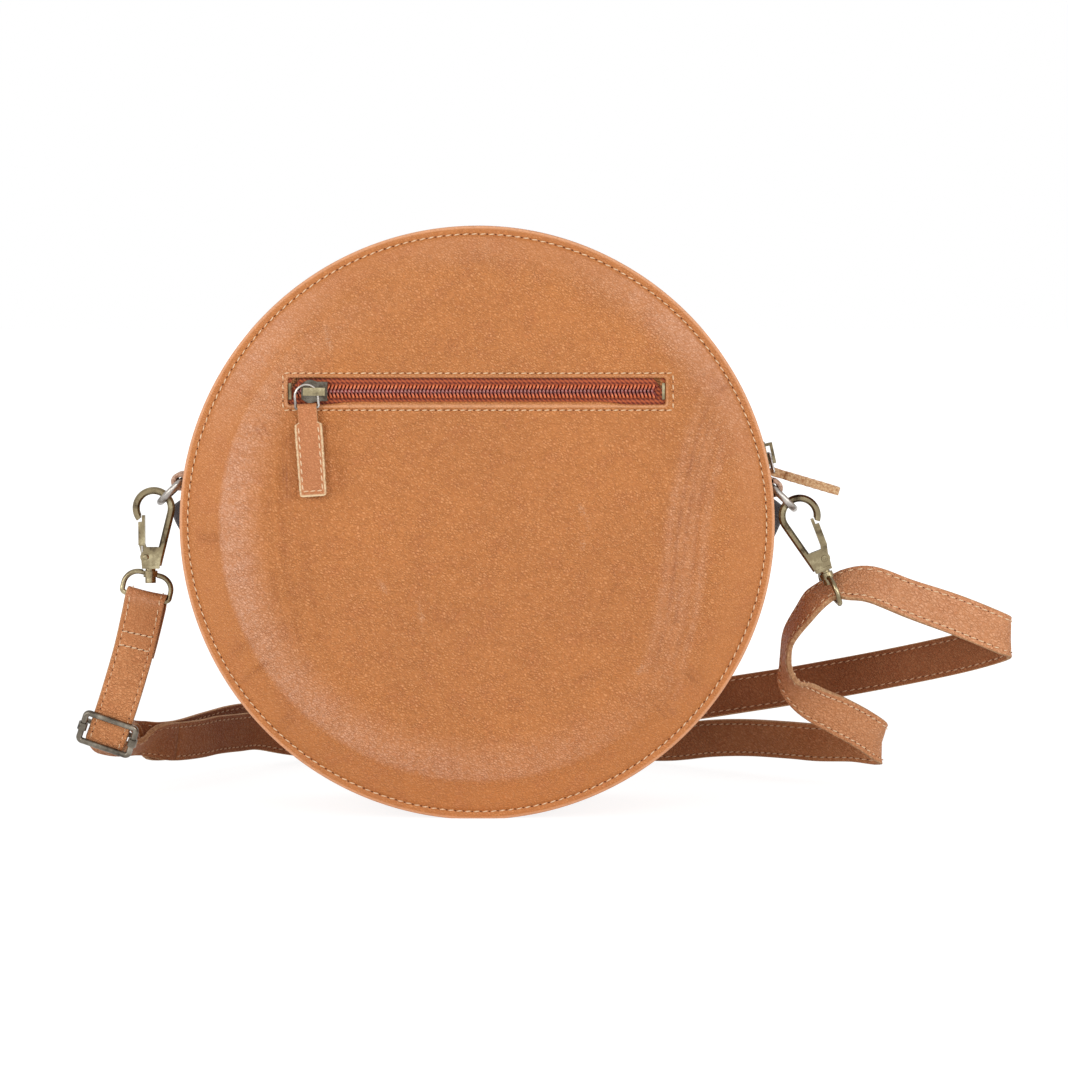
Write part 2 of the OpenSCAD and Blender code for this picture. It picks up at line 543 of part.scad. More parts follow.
// strap and adjuster
// route of the one strap, in millimetres chosen by eye: place and direction of its width.
// 0-9 short stretch, 9-12 curl, 12-24 behind the bag, 24-31 upper right, 31-37 through the right
// ring, 37-46 lower fold, 46-58 behind the bag, 58-65 to the adjuster's bar
route = [
    [-141, -1, 87, 96, 10, -25], [-143, 0, 78, 96, 8, -25], [-146, 2, 66, 96, 6, -26],
    [-150, 5, 53, 96, 4, -27], [-154, 8, 41, 96, 2, -27], [-158, 11, 30, 96, 0, -28],
    [-161, 13, 21, 96, 0, -28], [-163, 18, 13, 97, 4, -22], [-162, 25, 9, 98, 5, -8],
    [-157, 32, 13, 92, -20, 20], [-150, 37, 20, 82, -32, 45], [-142, 44, 22, 40, -34, 86],
    [-134, 56, 20, -7, -28, 96], [-125, 72, 19, -7, -12, 99], [-118, 86, 19, -7, 0, 100],
    [-110, 102, 18, -8, 0, 100], [-102, 115, 17, -8, 0, 100], [-88, 127, 13, -5, 0, 100],
    [-62, 135, 9, 0, 0, 100], [-25, 138, 9, 0, 0, 100], [12, 135, 9, 0, 4, 100],
    [42, 124, 13, 0, 8, 99], [68, 106, 24, 2, 14, 98], [88, 92, 32, 8, 14, 98],
    [108, 80, 37, 6, 18, 98], [138, 70, 43, -4, 25, 96], [172, 55, 51, -12, 10, 98],
    [203, 35, 60, -12, 2, 99], [219, 22, 66, -10, 0, 99], [225, 12, 70, -4, 0, 100],
    [221, 3, 73, 8, 2, 99], [202, -1, 81, 26, 16, 95],
    [182, -2, 88, 32, 44, 84], [166, -1, 94, 16, 54, 83], [156, 2, 94, -6, 74, 66],
    [149, 3, 92, -28, 91, 30], [142, 3, 87, -28, 90, 32], [137, 7, 80, -15, 93, 33],
    [132, 12, 71, -10, 97, 20], [131, 15, 63, -8, 100, 0], [132, 18, 56, -6, 97, -24],
    [135, 22, 49, -16, 82, -55], [143, 28, 41, -38, 52, -76], [155, 35, 34, -45, 16, -88],
    [165, 42, 28, -40, 4, -92], [173, 49, 22, -26, 10, -96], [174, 57, 18, 0, 12, -99],
    [163, 66, 18, 12, 12, -98], [149, 76, 17, 2, 8, -100], [137, 84, 17, 4, 12, -99],
    [120, 100, 16, 8, 8, -99], [104, 113, 14, 8, 0, -100], [84, 129, 10, 4, 0, -100],
    [55, 143, 9, 0, 0, -100], [15, 150, 9, 0, 0, -100], [-30, 152, 9, 0, 0, -100],
    [-70, 147, 9, 0, 0, -100], [-94, 136, 13, 4, 0, -100], [-106, 122, 20, 8, 0, -100],
    [-114, 110, 21, 8, 0, -100], [-124, 93, 20, 8, 0, -100], [-137, 68, 19, 8, 6, -99],
    [-148, 57, 21, 40, 0, -91], [-155, 45, 31, 84, 0, -54], [-157, 30, 33, 95, 0, -31],
    [-157, 15, 33, 96, 0, -28]];
last = len(route) - 1;
function knot(i) = let(p = route[min(max(i, 0), last)]) [p[0], p[1], p[2]];
function wide(i) = let(p = route[min(max(i, 0), last)]) [p[3], p[4], p[5]];
function mix4(a, b, c, d, t) = (2 * b + (c - a) * t + (2 * a - 5 * b + 4 * c - d) * t * t
    + (3 * b - a - 3 * c + d) * t * t * t) / 2;
function slope4(a, b, c, d, t) = ((c - a) + 2 * (2 * a - 5 * b + 4 * c - d) * t
    + 3 * (3 * b - a - 3 * c + d) * t * t) / 2;
function pos(u) = let(i = min(floor(u), last - 1), t = u - i)
    mix4(knot(i - 1), knot(i), knot(i + 1), knot(i + 2), t);
function dir(u) = let(i = min(floor(u), last - 1), t = u - i,
    d = slope4(knot(i - 1), knot(i), knot(i + 1), knot(i + 2), t)) d / norm(d);
function side(u) = let(i = min(floor(u), last - 1), t = u - i, d = dir(u),
    w = mix4(wide(i - 1), wide(i), wide(i + 1), wide(i + 2), t), v = w - (w * d) * d) v / norm(v);
// corners of the strap's section at u, shifted and thinned across its thickness
function section(u, shift, t) = let(p = pos(u), w = side(u), n = cross(dir(u), w))
    [for (c = [[-1, -1], [1, -1], [1, 1], [-1, 1]])
        p + w * (c[0] * strap_w / 2) + n * (shift + c[1] * t / 2)];
module strap_run(u0, u1, shift, t) {
    n = u1 - u0;
    pts = [for (k = [0:n]) each section(u0 + k, shift, t)];
    faces = concat([[0, 1, 2, 3]], [[4 * n + 3, 4 * n + 2, 4 * n + 1, 4 * n]],
        [for (k = [0:n - 1]) for (j = [0:3])
            let(a = 4 * k + j, b = 4 * k + (j + 1) % 4) each [[a, a + 4, b + 4], [a, b + 4, b]]]);
    polyhedron(points = pts, faces = faces);
}
end_ply = strap_t * 0.54;    // thickness of the skived end that is folded back
bar_clear = 0.25;
module on_ring_bar(s, h) {
    in_hook(s, h) translate([post_x, 0, boss_z]) rotate([0, 0, h[3]]) rotate([0, h[4], 0])
        translate([0, 0, -swivel_drop]) rotate([0, 90, 0]) children();
}
bar_len = swivel_w - 2 * swivel_wire * 0.75;
loop_len = min(strap_w, bar_len) - 0.2;
module strap_short() color(tan) difference() {
    union() {
        strap_run(0, 12, 0, strap_t);
        strap_run(0, 2, -strap_t / 2 - end_ply / 2 + lay, end_ply);
        on_ring_bar(LEFT, L_HOOK)
            cylinder(r = swivel_wire / 2 + bar_clear + end_ply, h = loop_len, center = true);
    }
    on_ring_bar(LEFT, L_HOOK) cylinder(r = swivel_wire / 2 + bar_clear, h = strap_w * 2, center = true);
}
module strap_left_run() color(tan) strap_run(12, 20, 0, strap_t);
module strap_right_upper() color(tan) strap_run(20, 34, 0, strap_t);
module strap_right_lower() color(tan) strap_run(34, 50, 0, strap_t);

// adjuster: origin on the short stretch, +X across the strap, +Z up it, -Y its face
adj_u = 5;
adj_r = adj_wire / 2;
adj_at = pos(adj_u);
adj_x = side(adj_u);
adj_z = -dir(adj_u);
adj_y = cross(adj_z, adj_x);
module on_adjuster() {
    multmatrix([[adj_x[0], adj_y[0], adj_z[0], adj_at[0]], [adj_x[1], adj_y[1], adj_z[1], adj_at[1]],
        [adj_x[2], adj_y[2], adj_z[2], adj_at[2]], [0, 0, 0, 1]]) children();
}
adj_front = -(strap_t / 2 + adj_r + 0.5);
centre_r = 1.1;
centre_back = strap_t / 2 + 0.4 + end_ply + bar_clear + centre_r;
adj_side = adj_w / 2 - adj_r;
module adjuster_frame() color(gunmetal) on_adjuster()
    translate([0, adj_front, adj_h / 2 - adj_r])
        ring_frame(2 * adj_side, adj_h - 2 * adj_r, adj_r * 1.2, adj_r * 1.2, adj_r);
module adjuster_bar() color(gunmetal) on_adjuster() difference() {
    union() {
        translate([0, centre_back, 0]) rotate([0, 90, 0])
            cylinder(r = centre_r, h = 2 * adj_side, center = true);
        for (s = [-1, 1]) translate([s * adj_side, 0, 0]) {
            translate([0, adj_front, 0]) rotate([-90, 0, 0])
                cylinder(r = centre_r * 0.9, h = centre_back - adj_front);
            translate([0, centre_back, 0]) sphere(r = centre_r);
            translate([0, adj_front, 0]) cylinder(r = adj_r + 0.7, h = 3.2, center = true);
        }
    }
    for (s = [-1, 1]) translate([s * adj_side, adj_front, 0])
        cylinder(r = adj_r + fit_gap, h = adj_h, center = true);
}
module strap_tail() color(tan) difference() {
    union() {
        strap_run(50, last, 0, strap_t);
        on_adjuster() translate([0, centre_back, 0]) rotate([0, 90, 0])
            cylinder(r = centre_r + bar_clear + end_ply, h = strap_w, center = true);
    }
    on_adjuster() translate([0, centre_back, 0]) rotate([0, 90, 0])
        cylinder(r = centre_r + bar_clear, h = adj_w, center = true);
}

pocket_panel();
plain_panel();
base_gusset();
zip_gusset_front();
zip_gusset_back();
main_zip_tape();
main_zip_coil();
main_zip_stops();
main_zip_slider();
main_pull_link();
main_pull_tab();
pocket_zip_tape();
pocket_zip_coil();
pocket_zip_stops();
pocket_zip_slider();
pocket_pull_link();
pocket_pull_tab();
pocket_pouch();
pocket_board();
plain_board();
front_lining();
back_lining();
gusset_lining();
left_ring_tab();
right_ring_tab();
left_d_ring();
right_d_ring();
left_hook_body();
left_hook_gate();
left_gate_spring();
left_gate_rivet();
left_swivel_stud();
left_swivel_ring();
right_hook_body();
right_hook_gate();
right_gate_spring();
right_gate_rivet();
right_swivel_stud();
right_swivel_ring();
adjuster_frame();
adjuster_bar();
strap_short();
strap_left_run();
strap_right_upper();
strap_right_lower();
strap_tail();
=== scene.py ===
import bmesh
import bpy
import math
import numpy as np
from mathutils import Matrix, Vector


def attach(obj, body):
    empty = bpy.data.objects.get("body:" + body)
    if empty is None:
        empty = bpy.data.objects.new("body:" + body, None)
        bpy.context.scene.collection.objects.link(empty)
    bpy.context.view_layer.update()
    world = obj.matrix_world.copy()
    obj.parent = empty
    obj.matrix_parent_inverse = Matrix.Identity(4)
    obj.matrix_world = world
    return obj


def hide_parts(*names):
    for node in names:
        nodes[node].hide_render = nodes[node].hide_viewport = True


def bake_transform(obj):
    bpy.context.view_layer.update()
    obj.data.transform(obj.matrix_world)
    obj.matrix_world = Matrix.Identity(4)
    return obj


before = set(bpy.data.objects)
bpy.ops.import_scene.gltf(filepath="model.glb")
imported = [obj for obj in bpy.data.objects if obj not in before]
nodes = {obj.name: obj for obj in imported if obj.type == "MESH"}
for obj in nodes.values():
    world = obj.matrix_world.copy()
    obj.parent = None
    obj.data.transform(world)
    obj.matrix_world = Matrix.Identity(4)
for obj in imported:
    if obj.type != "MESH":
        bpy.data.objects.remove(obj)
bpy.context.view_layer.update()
mm = 0.001

# CAMERA
# It stands 1.5 m in front of the near rim, a little above the bag and to its right, and looks
# slightly down through a long lens.
picture_side, focal_length, look_down = 1068, 3655, 0.0725  # pixels, pixels, radians
camera = bpy.data.objects.new("camera", bpy.data.cameras.new("camera"))
bpy.context.scene.collection.objects.link(camera)
camera.location = (0.0234, -1.5375, 0.227)
camera.rotation_euler = (math.pi / 2 - look_down, 0, 0)
camera.data.sensor_width = 36
camera.data.lens = 36 * focal_length / picture_side
camera.data.clip_start, camera.data.clip_end = 0.05, 50
bpy.context.scene.camera = camera

# TAN LEATHER
# Full-grain cowhide, dyed tan: fine pebbles, with painted shade in the valleys and painted sheen
# on the tops, soft cloudy tone, a satin finish that goes pinkish where it is worn and where sheen
# is painted, painted shade in the creases and where it lies in the dark, and pale raw edges where
# it is cut.


class Wire:
    """One output socket in a material. + - * / between wires and numbers add Math nodes."""

    def __init__(self, tree, socket=None):
        self.tree, self.socket = tree, socket

    def node(self, kind, settings=None, inputs=None, out=0):
        """Adds a node: its settings first, then a value or a wire for each socket."""
        made = self.tree.nodes.new("ShaderNode" + kind)
        for name, value in (settings or {}).items():
            if name == "stops":
                while len(made.color_ramp.elements) < len(value):
                    made.color_ramp.elements.new(0.5)
                for stop, (place, colour) in zip(made.color_ramp.elements, value):
                    stop.position, stop.color = place, (*colour, 1)
            else:
                setattr(made, name, value)
        for name, value in (inputs or {}).items():
            if isinstance(value, Wire):
                self.tree.links.new(value.socket, made.inputs[name])
            elif isinstance(value, tuple) and made.inputs[name].type == "RGBA":
                made.inputs[name].default_value = (*value, 1)
            else:
                made.inputs[name].default_value = value
        return Wire(self.tree, made.outputs[out])

    def maths(self, operation, *values):
        """A Math node on wires and numbers."""
        return self.node("Math", {"operation": operation}, dict(enumerate(values)))

    def __add__(self, other):
        return self.maths("ADD", self, other)

    def __sub__(self, other):
        return self.maths("SUBTRACT", self, other)

    def __rsub__(self, other):
        return self.maths("SUBTRACT", other, self)

    def __mul__(self, other):
        return self.maths("MULTIPLY", self, other)

    def __truediv__(self, other):
        return self.maths("DIVIDE", self, other)

    __radd__, __rmul__ = __add__, __mul__

    def between(self, low, high):
        """0 below low, 1 above high, smooth between them."""
        return self.node("MapRange", {"interpolation_type": "SMOOTHSTEP"},
                         {"Value": self, "From Min": low, "From Max": high})

    def mix(self, none, full):
        """The colour none where this wire is 0, and full where it is 1."""
        return self.node("Mix", {"data_type": "RGBA"}, {0: self, 6: none, 7: full}, 2)

    def noise(self, scale, detail=2.0, roughness=0.5, out=0):
        """Cloudy noise at the place that this wire holds; out 1 gives it in colours."""
        return self.node("TexNoise", None, {"Vector": self, "Scale": scale, "Detail": detail,
                                            "Roughness": roughness}, out)

    def attribute(self, label, out=2):
        """A number that the piece's mesh holds at each point; out 1 gives a vector."""
        return self.node("Attribute", {"attribute_name": label}, out=out)


def srgb(r, g, b):
    """A colour as a picture holds it, 0 to 255, in the light that a shader works with."""
    c = np.array([r, g, b]) / 255
    return tuple(float(x) for x in np.where(c < 0.04045, c / 12.92, ((c + 0.055) / 1.055) ** 2.4))


def new_paint(name, roughness=0.5):
    """A new material, its shader node and a wire that holds the place on the object."""
    paint = bpy.data.materials.new(name)
    paint.use_nodes = True
    shader = paint.node_tree.nodes["Principled BSDF"]
    shader.inputs["Roughness"].default_value = roughness
    return paint, shader, Wire(paint.node_tree).node("TexCoord", out=3)


def feed(shader, wire, socket):
    """Leads the wire into a socket of the shader, or of another node."""
    wire.tree.links.new(wire.socket, shader.inputs[socket])


def emboss(shader, height, strength, distance):
    """Bump from the wire height, over a distance in metres."""
    feed(shader, height.node("Bump", None, {"Strength": strength, "Distance": distance,
                                            "Height": height}), "Normal")


def leather_paint(name, colour, worn_and_sheen_tone, dark, grain=1.0, gloss=0.45, size=920.0,
                  depth=(0.026, 0.011, 0.011), bare=srgb(219, 156, 112), shine=0.5):
    """Leather. Pebbles are cells and ridges of noise, drawn out on a slant, with valleys between
    them. They drive the bump and the colour, with painted shade in the valleys and painted sheen
    on the tops; clouds of tone lie over them. The pieces' attributes smooth the grain beside a
    seam, rub the shoulder paler with wear and painted sheen, scuff it, paint shade into the folds,
    bare the turned edge, paint a highlight on the slot's crest, and paint shade on what lies in
    the dark, down to the colour depth."""
    paint, shader, place = new_paint(name)
    bent = place.node("Mix", {"data_type": "VECTOR"}, {0: 0.0011, 4: place, 5: place.noise(420.0, out=1)}, 1)
    slant = place.node("Mapping", {"vector_type": "TEXTURE"},
                       {"Vector": bent, "Rotation": (0.0, 0.6, 0.0), "Scale": (1.35, 1.0, 0.75)})
    edge = slant.node("TexVoronoi", {"feature": "DISTANCE_TO_EDGE"}, {"Vector": slant, "Scale": size})
    ridge = slant.noise(0.85 * size, 1.0)
    pebble = edge.between(0.01, 0.26) * 0.65 + ridge.between(0.38, 0.62) * 0.35
    fine, cloud, patch = place.noise(3000.0), place.noise(16.0, 3.0), place.noise(110.0)
    wear, smooth, scuff, pale, deep, fold = (
        place.attribute(label) for label in ("wear", "smooth", "scuff", "pale", "deep", "fold"))
    lines = place.attribute("polar", 1).noise(1.0, 3.0)
    grainy = (1 - smooth * 0.4) * (0.85 + patch.between(0.3, 0.7) * 0.2)
    tone = cloud.between(0.28, 0.72).mix(tuple(0.94 * c for c in colour),
                                         tuple(min(1, 1.06 * c) for c in colour))
    tone = (patch.between(0.5, 0.68) * 0.09).mix(tone, srgb(206, 116, 80))
    # Painted shade: the valleys between the pebbles go towards the dark colour; the smooth band also goes a
    # little darker.
    low = ((1 - pebble) * grainy * (0.46 * grain) + smooth * 0.15).mix(tone, dark)
    # Painted sheen: the tops of the pebbles go paler.
    base = (pebble.between(0.55, 1.0) * grainy * (0.2 * grain)).mix(low, srgb(230, 174, 130))
    # Wear and painted sheen: the tone goes pale pinkish where the piece is worn and where sheen is painted.
    rubbed_and_sheen = (wear * (0.5 + lines.between(0.4, 0.7) * 0.2) * (0.25 + pebble * 0.75)).mix(base, worn_and_sheen_tone)
    scratch = scuff * fine.between(0.48, 0.6) * patch.between(0.35, 0.5)
    scuffed = (scratch * 0.75).mix(rubbed_and_sheen, srgb(222, 178, 146))
    # Painted shade in the creases, towards the dark colour.
    crease_shaded = (fold * (0.35 + patch.between(0.35, 0.65) * 0.5)).mix(scuffed, dark)
    # Painted shade: what lies in the dark goes down to the colour depth; the pale colour bares the turned
    # edge and paints a highlight on the slot's crest.
    feed(shader, deep.mix(pale.mix(crease_shaded, bare), depth), "Base Color")
    feed(shader, gloss + (1 - pebble) * grainy * 0.16 + (cloud - 0.5) * 0.1 + scratch * 0.2, "Roughness")
    emboss(shader, pebble * grainy + fine * 0.18 + lines * (wear * 0.5 + smooth * 0.12) + patch * 0.25,
           0.9 * grain, 0.00042)
    shader.inputs["Specular IOR Level"].default_value = shine
    return paint


tan = leather_paint("tan_leather", srgb(200, 125, 60), srgb(222, 172, 146), srgb(138, 74, 30))
# The strap's colour depth is the deep red-brown of the painted shade where it lies in the dark.
strap_tan = leather_paint("strap_leather", srgb(208, 142, 94), srgb(220, 170, 142), srgb(136, 72, 30),
                          0.9, 0.42, 720.0, (0.092, 0.0095, 0.002), shine=0.12)


def raw_edge_paint(name, colour, deep):
    """Cut edge of vegetable fibre: fuzzy, matt, pale with darker streaks along the plies."""
    paint, shader, place = new_paint(name)
    fibre = place.noise(900.0, 5.0, 0.7)
    feed(shader, fibre.between(0.35, 0.7).mix(deep, colour), "Base Color")
    feed(shader, 0.8 + (fibre - 0.5) * 0.2, "Roughness")
    emboss(shader, fibre, 0.7, 0.0003)
    return paint


raw_edge = raw_edge_paint("raw_edge", srgb(206, 164, 120), srgb(160, 108, 70))
soft_edge = raw_edge_paint("turned_edge", srgb(196, 142, 102), srgb(164, 108, 72))


def thread_paint():
    """Twisted polyester thread: cream, with a fine twist, and browner with painted shade where it lies in the
    dark.
    """
    paint, shader, place = new_paint("thread", 0.7)
    cream = place.noise(1800.0, 1.0).mix(srgb(206, 162, 118), srgb(246, 220, 186))
    feed(shader, place.attribute("deep").mix(cream, srgb(158, 104, 74)), "Base Color")
    return paint


def hole_paint():
    """Painted shade: the dark inside a needle hole, on a flat spindle that stands for the hole."""
    paint, shader, place = new_paint("needle_hole_shade", 0.9)
    feed(shader, place.noise(1500.0).mix(srgb(84, 44, 22), srgb(118, 64, 34)), "Base Color")
    return paint


thread, needle_hole_shade = thread_paint(), hole_paint()


def quads(n, m, rows_loop=False, columns_loop=False):
    """Faces of a grid of n rows and m columns, either way closed into a ring if asked."""
    i, j = np.meshgrid(np.arange(n if rows_loop else n - 1), np.arange(m if columns_loop else m - 1),
                       indexing="ij")
    i2, j2 = (i + 1) % n, (j + 1) % m
    return np.stack([i * m + j, i * m + j2, i2 * m + j2, i2 * m + j], -1).reshape(-1, 4)


def make(name, points, faces, paints, paint_of=None):
    """A smooth-shaded mesh object from points (n, 3) in metres and faces. Where it has more paints
    than one, paint_of holds the number of each face's paint."""
    mesh = bpy.data.meshes.new(name)
    mesh.from_pydata(np.asarray(points, float).reshape(-1, 3).tolist(), [], [list(f) for f in faces])
    for paint in paints:
        mesh.materials.append(paint)
    if paint_of is not None:
        mesh.polygons.foreach_set("material_index", np.asarray(paint_of, np.int32))
    mesh.polygons.foreach_set("use_smooth", np.ones(len(mesh.polygons), bool))
    piece = bpy.data.objects.new(name, mesh)
    bpy.context.scene.collection.objects.link(piece)
    return piece


def mark(piece, label, value):
    """Gives each point of the mesh a number, under a name that the finishes read."""
    data = piece.data.attributes.new(label, "FLOAT", "POINT").data
    data.foreach_set("value", np.ravel(value).astype(np.float32))


def outwards(piece, merge=0.0):
    """Doubles merged, then every face turned to point out of the closed piece."""
    work = bmesh.new()
    work.from_mesh(piece.data)
    if merge:
        bmesh.ops.remove_doubles(work, verts=work.verts, dist=merge)
    bmesh.ops.recalc_face_normals(work, faces=work.faces)
    work.to_mesh(piece.data)
    work.free()
    return piece


def normals(P):
    """Unit normals of a grid of points, from the cross product of its two directions."""
    N = np.cross(np.gradient(P, axis=0), np.gradient(P, axis=1))
    return N / np.maximum(np.linalg.norm(N, axis=-1, keepdims=True), 1e-12)


def hide(name, P, thickness, paints):
    """A piece of leather or cloth: the grid P, a second grid one thickness behind it along the
    normals, and a wall round the rim, which takes the second paint."""
    n, m = P.shape[:2]
    back = P - normals(P) * thickness
    front_faces = quads(n, m)
    back_faces = front_faces[:, ::-1] + n * m
    rim = np.concatenate([np.arange(m), m * np.arange(1, n) + m - 1, (n - 1) * m + np.arange(m - 2, -1, -1),
                          m * np.arange(n - 2, 0, -1)])
    after = np.roll(rim, -1)
    wall = np.stack([rim, rim + n * m, after + n * m, after], -1)
    paint_of = np.concatenate([np.zeros(2 * len(front_faces)), np.ones(len(wall))])
    piece = make(name, np.concatenate([P.reshape(-1, 3), back.reshape(-1, 3)]),
                 np.concatenate([front_faces, back_faces, wall]), paints, paint_of)
    return outwards(piece)


def unit(v):
    """Each vector at length 1."""
    return v / np.linalg.norm(v, axis=-1, keepdims=True)


def square_to(v, d):
    """Each vector v less its part along d, at length 1."""
    return unit(v - (v * d).sum(-1, keepdims=True) * d)


def sew(name, places, along, out, body_or_blend, length=2.5 * mm, thick=0.62 * mm, slant=9.0,
        deep=None, sink=0.06 * mm):
    """A row of stitches as one piece: at each place a spindle of thread, turned a few degrees off
    the line, its radius the sine of its length, and half way to the next one a flat dark spindle,
    the painted shade of a needle hole.
    A spindle has 17 points, its two tips and three rings of five, and 20 faces."""
    along = unit(along)
    out = square_to(out, along)
    side = np.cross(out, along)
    a = math.radians(slant)
    lean, flank = math.cos(a) * along + math.sin(a) * side, math.cos(a) * side - math.sin(a) * along

    def spindles(centre, d, s, o, long, wide, high):
        """Points of a spindle at each centre: long along d, wide along s and high along o."""
        turn, rise = np.arange(5) * 2 * math.pi / 5 + math.pi / 2, np.arange(1, 4) * math.pi / 4
        x = np.concatenate([[-1], np.repeat(-np.cos(rise), 5), [1]]) * long / 2
        r = np.concatenate([[0], np.repeat(np.sin(rise), 5), [0]])
        y = r * np.concatenate([[0], np.tile(np.cos(turn), 3), [0]]) * wide / 2
        z = r * np.concatenate([[0], np.tile(np.sin(turn), 3), [0]]) * high / 2
        return (centre[:, None] + x[None, :, None] * d[:, None] + y[None, :, None] * s[:, None]
                + z[None, :, None] * o[:, None])

    k = np.arange(5)
    k2 = (k + 1) % 5
    caps = np.concatenate([np.stack([0 * k, k2 + 1, k + 1], -1), np.stack([0 * k + 16, k + 11, k2 + 11], -1)])
    sides = np.concatenate([np.stack([k + i, k2 + i, k2 + i + 5, k + i + 5], -1) for i in (1, 6)])
    threads = spindles(places + out * (thick * 0.28 - sink), lean, flank, out, length, thick, thick)
    middle = (places + np.roll(places, -1, 0)) / 2
    near = np.linalg.norm(middle - places, axis=1) < length * 1.4
    holes = spindles(middle[near], along[near], side[near], out[near], thick * 1.5, thick * 1.05, 0.16 * mm)
    row = np.concatenate([threads, holes])
    shift = 17 * np.arange(len(row))[:, None, None]
    dark = np.tile(np.repeat(np.arange(len(row)) >= len(threads), 10), 2)
    piece = make(name, row, [*(caps + shift).reshape(-1, 3), *(sides + shift).reshape(-1, 4)],
                 [thread, needle_hole_shade], dark)
    # Painted shade: stitches that lie in the dark are marked so that the thread goes browner.
    if deep is not None:
        mark(piece, "deep", np.repeat(np.concatenate([deep, deep[near]]), 17))
    if isinstance(body_or_blend, str):
        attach(piece, body_or_blend)
    else:
        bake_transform(piece)


# STRAP
# Two strips of leather laid back to back, 17 mm wide, sewn along both edges. One end is folded
# round the left swivel ring, the strap passes the adjuster, the back of the bag and the right
# swivel ring, and its other end is folded round the adjuster's centre bar.
strap_w, strap_t, end_ply = 17 * mm, 2.4 * mm, 1.3 * mm
seam_at, seam_dip = 0.755, 0.13  # shares of the half width and of the half thickness
route = np.array([
    [-141, -1, 87, 96, 10, -25], [-143, 0, 78, 96, 8, -25], [-146, 2, 66, 96, 6, -26],
    [-150, 5, 53, 96, 4, -27], [-154, 8, 41, 96, 2, -27], [-158, 11, 30, 96, 0, -28],
    [-161, 13, 21, 96, 0, -28], [-163, 18, 13, 97, 4, -22], [-162, 25, 9, 98, 5, -8],
    [-157, 32, 13, 92, -20, 20], [-150, 37, 20, 82, -32, 45], [-142, 44, 22, 40, -34, 86],
    [-134, 56, 20, -7, -28, 96], [-125, 72, 19, -7, -12, 99], [-118, 86, 19, -7, 0, 100],
    [-110, 102, 18, -8, 0, 100], [-102, 115, 17, -8, 0, 100], [-88, 127, 13, -5, 0, 100],
    [-62, 135, 9, 0, 0, 100], [-25, 138, 9, 0, 0, 100], [12, 135, 9, 0, 4, 100],
    [42, 124, 13, 0, 8, 99], [68, 106, 24, 2, 14, 98], [88, 92, 32, 8, 14, 98],
    [108, 80, 37, 6, 18, 98], [138, 70, 43, -4, 25, 96], [172, 55, 51, -12, 10, 98],
    [203, 35, 60, -12, 2, 99], [219, 22, 66, -10, 0, 99], [225, 12, 70, -4, 0, 100],
    [221, 3, 73, 8, 2, 99], [202, -1, 81, 26, 16, 95],
    [182, -2, 88, 32, 44, 84], [166, -1, 94, 16, 54, 83], [156, 2, 94, -6, 74, 66],
    [149, 3, 92, -28, 91, 30], [142, 3, 87, -28, 90, 32], [137, 7, 80, -15, 93, 33],
    [132, 12, 71, -10, 97, 20], [131, 15, 63, -8, 100, 0], [132, 18, 56, -6, 97, -24],
    [135, 22, 49, -16, 82, -55], [143, 28, 41, -38, 52, -76], [155, 35, 34, -45, 16, -88],
    [165, 42, 28, -40, 4, -92], [173, 49, 22, -26, 10, -96], [174, 57, 18, 0, 12, -99],
    [163, 66, 18, 12, 12, -98], [149, 76, 17, 2, 8, -100], [137, 84, 17, 4, 12, -99],
    [120, 100, 16, 8, 8, -99], [104, 113, 14, 8, 0, -100], [84, 129, 10, 4, 0, -100],
    [55, 143, 9, 0, 0, -100], [15, 150, 9, 0, 0, -100], [-30, 152, 9, 0, 0, -100],
    [-70, 147, 9, 0, 0, -100], [-94, 136, 13, 4, 0, -100], [-106, 122, 20, 8, 0, -100],
    [-114, 110, 21, 8, 0, -100], [-124, 93, 20, 8, 0, -100], [-137, 68, 19, 8, 6, -99],
    [-148, 57, 21, 40, 0, -91], [-155, 45, 31, 84, 0, -54], [-157, 30, 33, 95, 0, -31],
    [-157, 15, 33, 96, 0, -28]], float)
route[:, :3] *= mm


def strap_frame(u):
    """Catmull-Rom curve through the route at the shares u: place, direction, width and face."""
    u = np.asarray(u, float)
    i = np.clip(np.floor(u).astype(int), 0, len(route) - 2)
    t = (u - i)[:, None]
    a, b, c, d = (route[np.clip(i + k, 0, len(route) - 1)] for k in (-1, 0, 1, 2))
    first, second, third = c - a, 2 * a - 5 * b + 4 * c - d, 3 * b - a - 3 * c + d
    value = (2 * b + first * t + second * t ** 2 + third * t ** 3) / 2
    slope = unit((first + 2 * second * t + 3 * third * t ** 2)[:, :3])
    wide = square_to(value[:, 3:], slope)
    return value[:, :3], slope, wide, np.cross(slope, wide)


def run_along(p):
    """Length run along the line of points p, at each of them."""
    return np.concatenate([[0], np.cumsum(np.linalg.norm(np.diff(p, axis=0), axis=1))])


def even_steps(u0, u1, step, inset=0.0):
    """Shares u between u0 and u1 that lie one step apart along the route, and its length there."""
    u = np.linspace(u0, u1, 4000)
    s = run_along(strap_frame(u)[0])
    count = max(2, int((s[-1] - 2 * inset) / step))
    return np.interp(np.linspace(inset, s[-1] - inset, count), s, u), s[-1]


def bell(x, width):
    """Bell curve: 1 where x is 0, and 0.37 at the width to either side."""
    return np.exp(-(x / width) ** 2)


